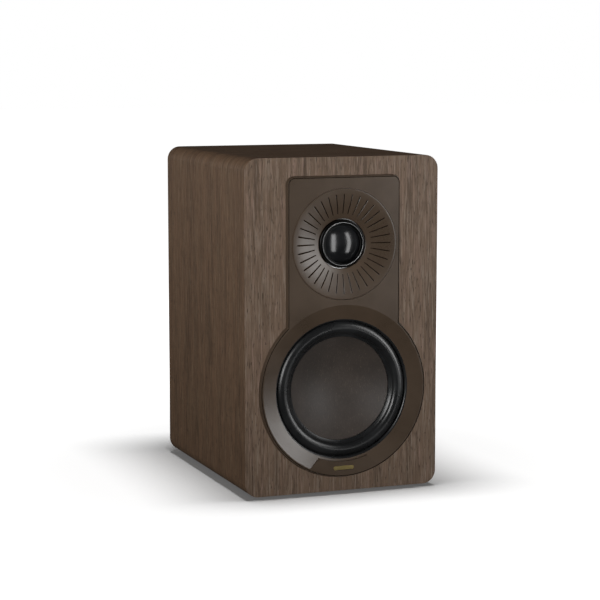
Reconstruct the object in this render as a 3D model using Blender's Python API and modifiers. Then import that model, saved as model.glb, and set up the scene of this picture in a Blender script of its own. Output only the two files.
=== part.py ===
"""Compact two-way bookshelf loudspeaker, built piece by piece.

Frame: +Z up, the baffle faces -Y, +X to the right seen from in front of the baffle.
The origin is on the ground under the middle of the whole object. Metres.
Turned pieces are drawn as (radius, reach) points, where reach is the distance out of the
face they are mounted on: out of the veneered front, or out of the rear panel.
"""

import math

import bmesh
import bpy
from mathutils import Matrix

# ---- driving sizes: cabinet -------------------------------------------------------------
CAB_WIDTH = 0.150
CAB_HEIGHT = 0.245
CAB_DEPTH = 0.186
EDGE_RADIUS = 0.010  # the four edges that run front to back
VENEER = 0.0006
WALL = 0.012
BAFFLE_THICK = 0.016
REAR_THICK = 0.012
FOOT_HEIGHT = 0.002
FOOT_RADIUS = 0.007
FOOT_INSET = 0.018
GAP = 0.0003  # between pieces that touch
CUT_OVER = 0.001  # how far a cutter runs past the face that it opens

# ---- driving sizes: front trim ----------------------------------------------------------
TRIM_RAISE = 0.0035
TRIM_DRAFT = 0.0011
TRIM_HALF_WIDTH = 0.0444
TRIM_TOP_MARGIN = 0.0131
TRIM_CORNER = 0.005
TRIM_RIM_RADIUS = 0.0652
TRIM_SLOPE_RADIUS = 0.0624
TRIM_HOLE_RADIUS = 0.0516
PLATEAU_RADIUS = 0.0530
PLATEAU_HALF_ANGLE_OUT = math.radians(26.5)
PLATEAU_HALF_ANGLE_IN = math.radians(20.5)
PLAQUE_SIZE = (0.016, 0.0032)
PLAQUE_THICK = 0.0006
MOUTH_OVER = 0.002  # how far the mouth's cutter runs past both faces

# ---- driving sizes: woofer --------------------------------------------------------------
WOOFER_HEIGHT = 0.0754  # axis above the cabinet's underside
FLANGE_RADIUS = 0.0615
FLANGE_THICK = 0.0028
FLANGE_SINK = 0.0042  # the flange's front face below the veneered front
ROLL_OUTER = 0.0495
ROLL_INNER = 0.0410
SURROUND_THICK = 0.0007
CONE_RADIUS = 0.0381
CONE_RIM_SINK = 0.0054
CONE_DEPTH = 0.0146
CONE_THICK = 0.0008
COIL_RADIUS = 0.0124  # inner radius of the coil former
FORMER_WALL = 0.0004
COIL_WALL = 0.0008
COIL_LENGTH = 0.0086
COIL_CLEAR = 0.0005
BASKET_DEPTH = 0.0278
BASKET_WALL = 0.0025
BASKET_END_RADIUS = 0.0380
BASKET_FLOOR = 0.0016
BASKET_WINDOW = 0.044
BASKET_BRIDGE = 0.0045  # of skirt left above and below the windows, together
BASKET_RIM = 0.0015  # of flange inside the skirt's outer radius
BASKET_KINK = 0.0010  # from the spider ledge down to where the skirt ends
MOUTH_CLEAR = 0.003  # between the voice coil's gap and the hole in the basket's floor
SPIDER_RISE = 0.0067  # the spider ledge above the basket's end
LEDGE_WIDTH = 0.0067
SPIDER_THICK = 0.0005
SPIDER_WAVE = 0.0010
SPIDER_FOLDS = 8
SPIDER_ROOM = 0.0004  # outside the spider's edge
GLUE_LIP = 0.0036  # how far the surround's outer lip runs under the gasket
SURROUND_FOOT = (0.0006, 0.0005)  # its inner edge, outside and above the cone's rim
PLATE_THICK = 0.0040
MAGNET_RADIUS = 0.0360
MAGNET_SETBACK = 0.0045  # the magnet's bore outside the gap's
YOKE_MARGIN = 0.003
VENT_RADIUS = 0.0035
MAGNET_THICK = 0.0150
YOKE_THICK = 0.0045
WOOFER_SCREW_CIRCLE = 0.0576

# ---- driving sizes: tweeter -------------------------------------------------------------
TWEETER_MARGIN = 0.0630  # axis below the cabinet's top
WAVEGUIDE_RADIUS = 0.0403
WAVEGUIDE_DROP = 0.0046
WAVEGUIDE_POWER = 1.6
THROAT_RADIUS = 0.0182
DOME_RADIUS = 0.0133
DOME_SINK = 0.0018
DOME_RISE = 0.0048
DOME_THICK = 0.0004
TWEETER_FLANGE_HALF = 0.0410
TWEETER_FLANGE_CORNER = 0.008
TWEETER_FLANGE_THICK = 0.0022
TWEETER_FLANGE_SINK = 0.0024
TWEETER_SCREW_OFFSET = 0.0355
TWEETER_PLATE_RADIUS = 0.0335
TWEETER_PLATE_THICK = 0.0030
TWEETER_MAGNET_RADIUS = 0.0340
TWEETER_MAGNET_THICK = 0.0080
TWEETER_YOKE_THICK = 0.0040
TWEETER_COIL_WALL = 0.0008
TWEETER_COIL_OVERHANG = 0.0016  # past the top plate's back
TWEETER_HEAD_RADIUS = 0.00264
TWEETER_GLUE_RING = 0.0024  # how far the surround's lip runs under the waveguide
FLANGE_OVERLAP = 0.002  # of the flange into the waveguide that it is one piece with
TWEETER_SKIN = 0.0004
THROAT_LIP = 0.0011
ROLL_CREST = 0.0005

# ---- driving sizes: rear ----------------------------------------------------------------
PORT_RADIUS = 0.0175
PORT_WALL = 0.0022
PORT_LENGTH = 0.090
PORT_FLARE = 0.008
PORT_RIM = 0.0025
PORT_LIP = 0.0020
PORT_BELL = 0.0035  # the bell's outside beyond the tube's
CUP_HEIGHT = 0.062  # middle of the terminal cup above the cabinet's underside
CUP_FLANGE = (0.080, 0.062)
CUP_RECESS = (0.058, 0.040)
CUP_DEPTH = 0.012
CUP_WALL = 0.002
CUP_FACE = 0.002
CUP_CORNER = 0.006
DISH_CORNER = 0.004
RECESS_CORNER = 0.003
POST_SPACING = 0.019
STUD_RADIUS = 0.0030
SOCKET_RADIUS = 0.0020
STUD_TAIL = 0.010
STUD_SINK = 0.001  # the stud's tip behind the knob's end
SOCKET_FLOOR = 0.001  # the socket's end behind the collar's face
COLLAR_THICK = 0.0025
COLLAR_STEP = 0.0015
WASHER_THICK = 0.0010
WASHER_STEP = 0.0020
KNOB_RADIUS = 0.0065
KNOB_CHAMFER = 0.0006
POST_REACH = 0.0075  # knob ends beyond the rear panel

# ---- driving sizes: crossover and lining ------------------------------------------------
BOARD_SIZE = (0.088, 0.077, 0.0016)
BOARD_CLEAR = 0.014  # from the board to the rear panel
BOARD_ASIDE = 0.001  # the right-hand row of parts further out than the left-hand one
INDUCTORS = {  # from the board's rear edge, inner radius, outer radius, height
    "woofer": (0.024, 0.008, 0.019, 0.014),
    "tweeter": (0.019, 0.006, 0.014, 0.012),
}
CAPACITORS = {"woofer": (0.044, 0.008), "tweeter": (0.063, 0.007)}  # from the edge, radius
CAPACITOR_LENGTH = 0.032
RESISTOR_SIZE = (0.034, 0.008, 0.008)
RESISTOR_SETBACK = 0.056
WADDING_THICK = 0.012
WADDING_END = 0.009
WADDING_HEM = 0.005  # above the cabinet's floor
WIRE_RADIUS = 0.0012

# ---- driving sizes: screws --------------------------------------------------------------
SCREW_HEAD = (0.0031, 0.0022)  # radius, height
SCREW_SHANK = (0.0016, 0.0105)
SCREW_CLEAR = 0.0004

# ---- places that follow -----------------------------------------------------------------
TOTAL_DEPTH = TRIM_RAISE + CAB_DEPTH + POST_REACH
FRONT_Y = TRIM_RAISE - TOTAL_DEPTH / 2
REAR_Y = FRONT_Y + CAB_DEPTH
BASE_Z = FOOT_HEIGHT
TOP_Z = BASE_Z + CAB_HEIGHT
MID_Z = BASE_Z + CAB_HEIGHT / 2
SKIN = VENEER + GAP  # from the outside to the boards under the veneer
BOARD_HALF_W = CAB_WIDTH / 2 - SKIN
BOARD_HALF_H = CAB_HEIGHT / 2 - SKIN
BOARD_EDGE = EDGE_RADIUS - SKIN
INNER_HALF_W = BOARD_HALF_W - WALL
FLOOR_Z = BASE_Z + SKIN + WALL
CEILING_Z = TOP_Z - SKIN - WALL
BAFFLE_BACK_Y = FRONT_Y + BAFFLE_THICK
REAR_INNER_Y = REAR_Y - REAR_THICK
WOOFER_Z = BASE_Z + WOOFER_HEIGHT
TWEETER_Z = TOP_Z - TWEETER_MARGIN
PORT_Z = TWEETER_Z
CUP_Z = BASE_Z + CUP_HEIGHT
BASKET_END = -FLANGE_SINK - BASKET_DEPTH
LEDGE = BASKET_END + SPIDER_RISE
REBATE_RADIUS = FLANGE_RADIUS + 2 * GAP
SKIRT_RADIUS = ROLL_OUTER
BASKET_MOUTH = COIL_RADIUS + FORMER_WALL + COIL_WALL + COIL_CLEAR + MOUTH_CLEAR
TWEETER_REBATE_HALF = TWEETER_FLANGE_HALF + 2 * GAP
TWEETER_POCKET = TRIM_RAISE - WAVEGUIDE_DROP - THROAT_LIP
TWEETER_LIP = TWEETER_POCKET - GAP - TWEETER_SKIN / 2
TWEETER_PLATE_TOP = TWEETER_LIP - TWEETER_SKIN / 2 - GAP
TWEETER_END = (
    TWEETER_PLATE_TOP - TWEETER_PLATE_THICK - TWEETER_MAGNET_THICK - TWEETER_YOKE_THICK - 2 * GAP
)
PORT_SHOULDER = PORT_RADIUS + PORT_WALL + PORT_BELL
WOOFER_AT = (0, FRONT_Y, WOOFER_Z)
TWEETER_AT = (0, FRONT_Y, TWEETER_Z)
DIAGONALS = ((1, 1), (-1, 1), (-1, -1), (1, -1))
WOOFER_SCREW_OFFSET = WOOFER_SCREW_CIRCLE * math.sqrt(0.5)
WOOFER_SCREWS = [
    (sx * WOOFER_SCREW_OFFSET, WOOFER_Z + sz * WOOFER_SCREW_OFFSET) for sx, sz in DIAGONALS
]
TWEETER_SCREWS = [
    (sx * TWEETER_SCREW_OFFSET, TWEETER_Z + sz * TWEETER_SCREW_OFFSET) for sx, sz in DIAGONALS
]
CUP_SCREW_X = (CUP_FLANGE[0] + CUP_RECESS[0] + 2 * CUP_WALL) / 4
CUP_SCREW_Z = (CUP_FLANGE[1] + CUP_RECESS[1] + 2 * CUP_WALL) / 4
CUP_SCREWS = [(sx * CUP_SCREW_X, CUP_Z + sz * CUP_SCREW_Z) for sx, sz in DIAGONALS]

# ---- how finely round things are divided ------------------------------------------------
FINE = 36
MEDIUM = 20
SMALL = 12
TINY = 8
ARC = 4

# colour, roughness, metallic
FINISHES = {
    "walnut_veneer": ((0.16, 0.115, 0.08), 0.55, 0.0),
    "fibreboard": ((0.45, 0.33, 0.21), 0.85, 0.0),
    "brown_moulding": ((0.075, 0.058, 0.045), 0.45, 0.0),
    "gold_plaque": ((0.62, 0.52, 0.27), 0.35, 1.0),
    "black_plastic": ((0.02, 0.02, 0.021), 0.5, 0.0),
    "red_plastic": ((0.45, 0.02, 0.02), 0.4, 0.0),
    "black_rubber": ((0.018, 0.018, 0.018), 0.6, 0.0),
    "fibre_cone": ((0.035, 0.028, 0.024), 0.7, 0.0),
    "spider_cloth": ((0.45, 0.36, 0.16), 0.9, 0.0),
    "silk_dome": ((0.012, 0.013, 0.014), 0.25, 0.0),
    "coated_steel": ((0.05, 0.05, 0.052), 0.5, 0.8),
    "ferrite": ((0.05, 0.05, 0.055), 0.7, 0.0),
    "copper": ((0.72, 0.33, 0.17), 0.35, 1.0),
    "polyimide": ((0.45, 0.25, 0.08), 0.4, 0.0),
    "gold_metal": ((0.78, 0.6, 0.28), 0.25, 1.0),
    "circuit_board": ((0.03, 0.14, 0.05), 0.5, 0.0),
    "capacitor_film": ((0.5, 0.42, 0.1), 0.4, 0.0),
    "ceramic": ((0.75, 0.74, 0.7), 0.7, 0.0),
    "wire_sleeve": ((0.35, 0.02, 0.02), 0.5, 0.0),
    "polyester_wadding": ((0.8, 0.8, 0.78), 0.95, 0.0),
}


# ---- scene helpers ----------------------------------------------------------------------
def clear_scene():
    """Removes what the start-up scene holds."""
    for old in list(bpy.data.objects):
        bpy.data.objects.remove(old, do_unlink=True)


def new_collection(name):
    """Makes a collection in the scene."""
    made = bpy.data.collections.new(name)
    bpy.context.scene.collection.children.link(made)
    return made


def finish(slot):
    """The named finish as a material, made once."""
    known = bpy.data.materials.get(slot)
    if known:
        return known
    colour, roughness, metallic = FINISHES[slot]
    made = bpy.data.materials.new(slot)
    made.use_nodes = True
    shader = made.node_tree.nodes["Principled BSDF"]
    shader.inputs["Base Color"].default_value = (*colour, 1.0)
    shader.inputs["Roughness"].default_value = roughness
    shader.inputs["Metallic"].default_value = metallic
    made.diffuse_color = (*colour, 1.0)
    return made


def place(name, data, slot):
    """Links data as an object: a part if it has a finish, and otherwise a cutter."""
    obj = bpy.data.objects.new(name, data)
    if slot is None:
        bpy.data.collections["cutters"].objects.link(obj)
        obj.hide_render = True
        obj.display_type = "WIRE"
        return obj
    bpy.data.collections["bookshelf_speaker"].objects.link(obj)
    data.materials.append(finish(slot))
    return obj


def smooth(mesh, angle=35):
    """Shades a mesh smooth, but for edges sharper than the angle."""
    mesh.shade_smooth()
    mesh.set_sharp_from_angle(angle=math.radians(angle))


def mesh_from(name, build):
    """A mesh filled by the given function of a bmesh."""
    mesh = bpy.data.meshes.new(name)
    bm = bmesh.new()
    build(bm)
    bmesh.ops.recalc_face_normals(bm, faces=bm.faces)
    bm.to_mesh(mesh)
    bm.free()
    return mesh


def boolean(obj, other, operation):
    """Adds an exact Boolean to obj."""
    modifier = obj.modifiers.new(f"{operation.lower()}_{other.name}", "BOOLEAN")
    modifier.operation = operation
    modifier.object = other


def cut(obj, *cutters):
    """Takes each cutter away from obj."""
    for cutter in cutters:
        boolean(obj, cutter, "DIFFERENCE")


# ---- outlines, as (x, z) points anticlockwise -------------------------------------------
def arc(cx, cz, radius, start, end, steps):
    """Points along an arc, ends included; angles in degrees."""
    points = []
    for i in range(steps + 1):
        a = math.radians(start + (end - start) * i / steps)
        points.append((cx + radius * math.cos(a), cz + radius * math.sin(a)))
    return points


def circle(radius, cx=0.0, cz=0.0, steps=FINE):
    """A closed circle, its first point not repeated."""
    return arc(cx, cz, radius, 0, 360, steps)[:-1]


def rounded_rect(half_w, half_h, radius, cx=0.0, cz=0.0, steps=ARC):
    """A rectangle with round corners."""
    x, z = half_w - radius, half_h - radius
    points = []
    for quarter, (sx, sz) in enumerate(((1, 1), (-1, 1), (-1, -1), (1, -1))):
        start = quarter * 90
        points += arc(cx + sx * x, cz + sz * z, radius, start, start + 90, steps)
    return points


def keyhole(inset):
    """The trim's outline, drawn in by inset: a round lower end under a straight panel."""
    half = TRIM_HALF_WIDTH - inset
    top = TOP_Z - TRIM_TOP_MARGIN - inset
    corner = TRIM_CORNER - inset
    radius = TRIM_RIM_RADIUS - inset
    meet = math.degrees(math.acos(half / radius))
    points = arc(0, WOOFER_Z, radius, -180 - meet, meet, FINE * 3 // 4)
    points += arc(half - corner, top - corner, corner, 0, 90, ARC)
    points += arc(corner - half, top - corner, corner, 90, 180, ARC)
    return points


def mitred(half_length, half_reach):
    """One cabinet board seen from its end, as (along, out) points, mitred at both ends."""
    slack = GAP / 2 * math.sqrt(2)
    inner = half_length - WALL - slack
    bite = math.degrees(math.asin(GAP / 2 / BOARD_EDGE))
    along, out = half_length - BOARD_EDGE, half_reach - BOARD_EDGE
    points = [(-inner, half_reach - WALL), (inner, half_reach - WALL)]
    points += arc(along, out, BOARD_EDGE, 45 + bite, 90, 3)
    points += arc(-along, out, BOARD_EDGE, 90, 135 - bite, 3)
    return points


# ---- solids -----------------------------------------------------------------------------
def plate(name, loops, front, back, slot=None):
    """A flat sheet between two Y planes from 2D outlines; outlines inside it are holes."""
    curve = bpy.data.curves.new(name, "CURVE")
    curve.dimensions = "2D"
    curve.fill_mode = "BOTH"
    curve.extrude = (back - front) / 2
    for loop in loops:
        spline = curve.splines.new("POLY")
        spline.points.add(len(loop) - 1)
        for point, (x, z) in zip(spline.points, loop):
            point.co = (x, z, 0, 1)
        spline.use_cyclic_u = True
    mesh = solid_of_curve(curve)
    mesh.transform(
        Matrix.Translation((0, (front + back) / 2, 0)) @ Matrix.Rotation(math.pi / 2, 4, "X")
    )
    mesh.name = name
    return place(name, mesh, slot)


def solid_of_curve(curve):
    """The curve's mesh with its caps welded on; the curve is removed."""
    holder = bpy.data.objects.new("outline", curve)
    bpy.context.scene.collection.objects.link(holder)
    graph = bpy.context.evaluated_depsgraph_get()
    mesh = bpy.data.meshes.new_from_object(holder.evaluated_get(graph))
    bm = bmesh.new()
    bm.from_mesh(mesh)
    bmesh.ops.remove_doubles(bm, verts=bm.verts, dist=1e-6)
    bmesh.ops.recalc_face_normals(bm, faces=bm.faces)
    bm.to_mesh(mesh)
    bm.free()
    mesh.materials.clear()
    bpy.data.objects.remove(holder)
    bpy.data.curves.remove(curve)
    return mesh


def tapered(name, outline_back, outline_front, back, front, slot):
    """A solid that narrows from one outline to another with as many points."""

    def build(bm):
        loops = []
        for outline, y in ((outline_back, back), (outline_front, front)):
            ring = [bm.verts.new((x, y, z)) for x, z in outline]
            bm.faces.new(ring)
            loops += [e for e in bm.edges if e.verts[0] in ring and e.verts[1] in ring]
        bmesh.ops.bridge_loops(bm, edges=loops)

    return place(name, mesh_from(name, build), slot)


def box(name, size, centre, slot=None):
    """A plain block."""

    def build(bm):
        bmesh.ops.create_cube(bm, size=1.0)
        bmesh.ops.scale(bm, vec=size, verts=bm.verts)

    obj = place(name, mesh_from(name, build), slot)
    obj.location = centre
    return obj


def rod(name, radius, length, centre, axis="Y", steps=SMALL, slot=None):
    """A plain cylinder along X, Y or Z."""

    def build(bm):
        bmesh.ops.create_cone(
            bm, cap_ends=True, segments=steps, radius1=radius, radius2=radius, depth=length
        )

    obj = place(name, mesh_from(name, build), slot)
    turns = {"X": (0, math.pi / 2, 0), "Y": (math.pi / 2, 0, 0), "Z": (0, 0, 0)}
    obj.rotation_euler = turns[axis]
    obj.location = centre
    smooth(obj.data)
    return obj


def bores(name, places, radius, front, back):
    """One cutter holding a round hole at each (x, z) place."""

    def build(bm):
        for x, z in places:
            turn = Matrix.Translation((x, (front + back) / 2, z))
            turn = turn @ Matrix.Rotation(math.pi / 2, 4, "X")
            bmesh.ops.create_cone(
                bm,
                cap_ends=True,
                segments=TINY,
                radius1=radius,
                radius2=radius,
                depth=back - front,
                matrix=turn,
            )

    return place(name, mesh_from(name, build), None)


def turned(name, profile, centre, slot=None, ring=True, steps=FINE, rear=False, shell=0.0):
    """A lathe shape from (radius, reach) points that run down its outer side.

    ring closes the profile on itself, shell gives an open profile a wall instead, and
    rear turns it to face out of the back.
    """

    def build(bm):
        points = [bm.verts.new((radius, 0, reach)) for radius, reach in profile]
        for a, b in zip(points, points[1:]):
            bm.edges.new((a, b))
        if ring and not shell:
            bm.edges.new((points[-1], points[0]))

    obj = place(name, mesh_from(name, build), slot)
    screw = obj.modifiers.new("turn", "SCREW")
    screw.steps = steps
    screw.render_steps = steps
    screw.use_merge_vertices = True
    screw.merge_threshold = 1e-6
    if shell:
        wall = obj.modifiers.new("wall", "SOLIDIFY")
        wall.thickness = shell
        wall.offset = 0.0
        wall.use_even_offset = True
    obj.rotation_euler = (-math.pi / 2 if rear else math.pi / 2, 0, 0)
    obj.location = centre
    return obj


def disc_ring(name, inner, outer, low, high, centre, slot=None, steps=FINE, rear=False):
    """A flat washer between two reaches."""
    profile = [(inner, high), (outer, high), (outer, low), (inner, low)]
    return turned(name, profile, centre, slot, steps=steps, rear=rear)


def wire(name, points, slot):
    """An insulated wire through the given points, rounded between them."""
    curve = bpy.data.curves.new(name, "CURVE")
    curve.dimensions = "3D"
    curve.bevel_depth = WIRE_RADIUS
    curve.bevel_resolution = 1
    curve.use_fill_caps = True
    route = smooth_route(points, 5)
    spline = curve.splines.new("POLY")
    spline.points.add(len(route) - 1)
    for point, at in zip(spline.points, route):
        point.co = (*at, 1)
    mesh = solid_of_curve(curve)
    mesh.name = name
    return place(name, mesh, slot)


def smooth_route(points, steps):
    """Catmull-Rom points through the given ones."""
    ends = [points[0], *points, points[-1]]
    route = []
    for a, b, c, d in zip(ends, ends[1:], ends[2:], ends[3:]):
        for i in range(steps):
            t = i / steps
            route.append(
                tuple(
                    0.5 * (2 * q + (r - p) * t + (2 * p - 5 * q + 4 * r - s) * t * t
                           + (3 * q - p - 3 * r + s) * t * t * t)
                    for p, q, r, s in zip(a, b, c, d)
                )
            )
    return [*route, points[-1]]


def screw_piece(name, x, z, seat, head, shank, rear=False):
    """A pan-head wood screw; head and shank are (radius, length)."""
    y = REAR_Y if rear else FRONT_Y
    profile = [
        (0, seat + head[1]),
        (head[0] * 0.7, seat + head[1]),
        (head[0], seat + head[1] * 0.5),
        (head[0], seat),
        (shank[0], seat),
        (shank[0], seat - shank[1] * 0.8),
        (0, seat - shank[1]),
    ]
    turned(name, profile, (x, y, z), "coated_steel", ring=False, steps=TINY, rear=rear)


def out(reach):
    """The Y of a reach out of the veneered front."""
    return FRONT_Y - reach


# ---- sub-assemblies ---------------------------------------------------------------------
def build_cabinet():
    """Baffle, four mitred boards, rear panel, veneer and feet."""
    whole = rounded_rect(CAB_WIDTH / 2, CAB_HEIGHT / 2, EDGE_RADIUS, 0, MID_Z)
    under = rounded_rect(CAB_WIDTH / 2 - VENEER, CAB_HEIGHT / 2 - VENEER, EDGE_RADIUS - VENEER, 0, MID_Z)
    boards = rounded_rect(BOARD_HALF_W, BOARD_HALF_H, BOARD_EDGE, 0, MID_Z)
    woofer_hole = circle(REBATE_RADIUS, 0, WOOFER_Z)
    tweeter_hole = rounded_rect(
        TWEETER_REBATE_HALF, TWEETER_REBATE_HALF, TWEETER_FLANGE_CORNER, 0, TWEETER_Z
    )
    plate(
        "front_veneer", [whole, woofer_hole, tweeter_hole], FRONT_Y, FRONT_Y + VENEER, "walnut_veneer"
    )
    plate("veneer_wrap", [whole, under], FRONT_Y + SKIN, REAR_Y, "walnut_veneer")

    baffle = plate("front_baffle", [boards], FRONT_Y + SKIN, BAFFLE_BACK_Y, "fibreboard")
    rebate_floor = out(-FLANGE_SINK - FLANGE_THICK - GAP)
    tweeter_floor = out(-TWEETER_FLANGE_SINK - TWEETER_FLANGE_THICK - 2 * GAP)
    before, behind = FRONT_Y - CUT_OVER, BAFFLE_BACK_Y + CUT_OVER
    screw_end = FRONT_Y + FLANGE_SINK + SCREW_SHANK[1] + GAP
    cut(
        baffle,
        plate("cut_woofer_rebate", [woofer_hole], before, rebate_floor),
        plate("cut_woofer_hole", [circle(SKIRT_RADIUS + 2 * GAP, 0, WOOFER_Z)], before, behind),
        plate("cut_tweeter_rebate", [tweeter_hole], before, tweeter_floor),
        plate(
            "cut_tweeter_hole",
            [circle(TWEETER_MAGNET_RADIUS + 2 * GAP, 0, TWEETER_Z, MEDIUM)],
            before,
            behind,
        ),
        bores(
            "cut_baffle_bores",
            WOOFER_SCREWS + TWEETER_SCREWS,
            SCREW_SHANK[0] + SCREW_CLEAR,
            FRONT_Y + GAP,
            screw_end,
        ),
    )

    from_y, to_y = BAFFLE_BACK_Y + GAP, REAR_INNER_Y - GAP
    tall = mitred(BOARD_HALF_H, BOARD_HALF_W)
    wide = mitred(BOARD_HALF_W, BOARD_HALF_H)
    plate("right_panel", [[(v, MID_Z - u) for u, v in tall]], from_y, to_y, "fibreboard")
    plate("left_panel", [[(-v, MID_Z + u) for u, v in tall]], from_y, to_y, "fibreboard")
    plate("top_panel", [[(u, MID_Z + v) for u, v in wide]], from_y, to_y, "fibreboard")
    plate("bottom_panel", [[(-u, MID_Z - v) for u, v in wide]], from_y, to_y, "fibreboard")

    rear = plate("rear_panel", [boards], REAR_INNER_Y, REAR_Y, "fibreboard")
    before, behind = REAR_INNER_Y - CUT_OVER, REAR_Y + CUT_OVER
    cup_half = (CUP_RECESS[0] / 2 + CUP_WALL + 2 * GAP, CUP_RECESS[1] / 2 + CUP_WALL + 2 * GAP)
    cut(
        rear,
        plate("cut_port_hole", [circle(PORT_SHOULDER + 2 * GAP, 0, PORT_Z, MEDIUM)], before, behind),
        plate("cut_cup_hole", [rounded_rect(*cup_half, DISH_CORNER, 0, CUP_Z)], before, behind),
        bores(
            "cut_rear_bores",
            CUP_SCREWS,
            SCREW_SHANK[0] + SCREW_CLEAR,
            REAR_Y - SCREW_SHANK[1] - GAP,
            REAR_Y + CUT_OVER,
        ),
    )

    for side, sx in (("left", -1), ("right", 1)):
        for end, y in (("front", FRONT_Y + FOOT_INSET), ("rear", REAR_Y - FOOT_INSET)):
            height = FOOT_HEIGHT - GAP
            at = (sx * (CAB_WIDTH / 2 - FOOT_INSET), y, height / 2)
            rod(f"foot_{end}_{side}", FOOT_RADIUS, height, at, "Z", SMALL, "black_rubber")


def build_trim():
    """The raised keyhole moulding with its conical mouth, and the plain plaque on it."""
    trim = tapered(
        "baffle_trim", keyhole(0.0), keyhole(TRIM_DRAFT), out(GAP), out(TRIM_RAISE), "brown_moulding"
    )
    locating = rod(
        "join_locating_ring",
        REBATE_RADIUS - 2 * GAP,
        TRIM_RAISE / 2 + GAP,
        (0, out(TRIM_RAISE / 4 - GAP / 2), WOOFER_Z),
        steps=FINE,
    )
    boolean(trim, locating, "UNION")
    run = (TRIM_SLOPE_RADIUS - TRIM_HOLE_RADIUS) / TRIM_RAISE
    over = MOUTH_OVER
    mouth = turned(
        "cut_mouth",
        [
            (0, TRIM_RAISE + over),
            (TRIM_SLOPE_RADIUS + run * over, TRIM_RAISE + over),
            (TRIM_HOLE_RADIUS, 0),
            (TRIM_HOLE_RADIUS, -over),
            (0, -over),
        ],
        WOOFER_AT,
        ring=False,
    )
    cut(mouth, plateau_block())
    disc = circle(WAVEGUIDE_RADIUS + GAP, 0, TWEETER_Z)
    cut(trim, mouth, plate("cut_disc_hole", [disc], out(TRIM_RAISE + over), out(-over)))

    low = WOOFER_Z - (PLATEAU_RADIUS + TRIM_SLOPE_RADIUS) / 2
    half_w, half_h = PLAQUE_SIZE[0] / 2, PLAQUE_SIZE[1] / 2
    bar = rounded_rect(half_w, half_h, half_h * 0.9, 0, low, 4)
    sink = plate("cut_plaque", [bar], out(TRIM_RAISE + over), out(TRIM_RAISE - PLAQUE_THICK - GAP))
    cut(trim, sink)
    inner = half_h - GAP / 2
    bar = rounded_rect(half_w - GAP / 2, inner, inner * 0.9, 0, low, 4)
    front = out(TRIM_RAISE)
    plate("plaque", [bar], front, front + PLAQUE_THICK, "gold_plaque")


def plateau_block():
    """What the mouth leaves standing under the woofer: a flat plateau with slanted ends."""
    wide = math.degrees(PLATEAU_HALF_ANGLE_OUT)
    narrow = math.degrees(PLATEAU_HALF_ANGLE_IN)
    far = TRIM_SLOPE_RADIUS + 2 * MOUTH_OVER
    points = arc(0, WOOFER_Z, far, -90 - wide, -90 + wide, 16)
    points += arc(0, WOOFER_Z, PLATEAU_RADIUS, -90 + narrow, -90 - narrow, 12)
    return plate(
        "keep_plateau", [points], out(TRIM_RAISE + 2 * MOUTH_OVER), out(-2 * MOUTH_OVER)
    )


def roll(inner, outer, base, crest, steps):
    """(radius, reach) points over a half roll, from its outer foot to its inner one."""
    middle, half = (inner + outer) / 2, (outer - inner) / 2
    points = []
    for i in range(steps + 1):
        a = math.pi * i / steps
        points.append((middle + half * math.cos(a), base + (crest - base) * math.sin(a)))
    return points


def cone_reach(radius):
    """Mid-surface of the bowl-shaped cone."""
    return -CONE_RIM_SINK - CONE_DEPTH * (1 - (radius / CONE_RADIUS) ** 2)


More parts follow.
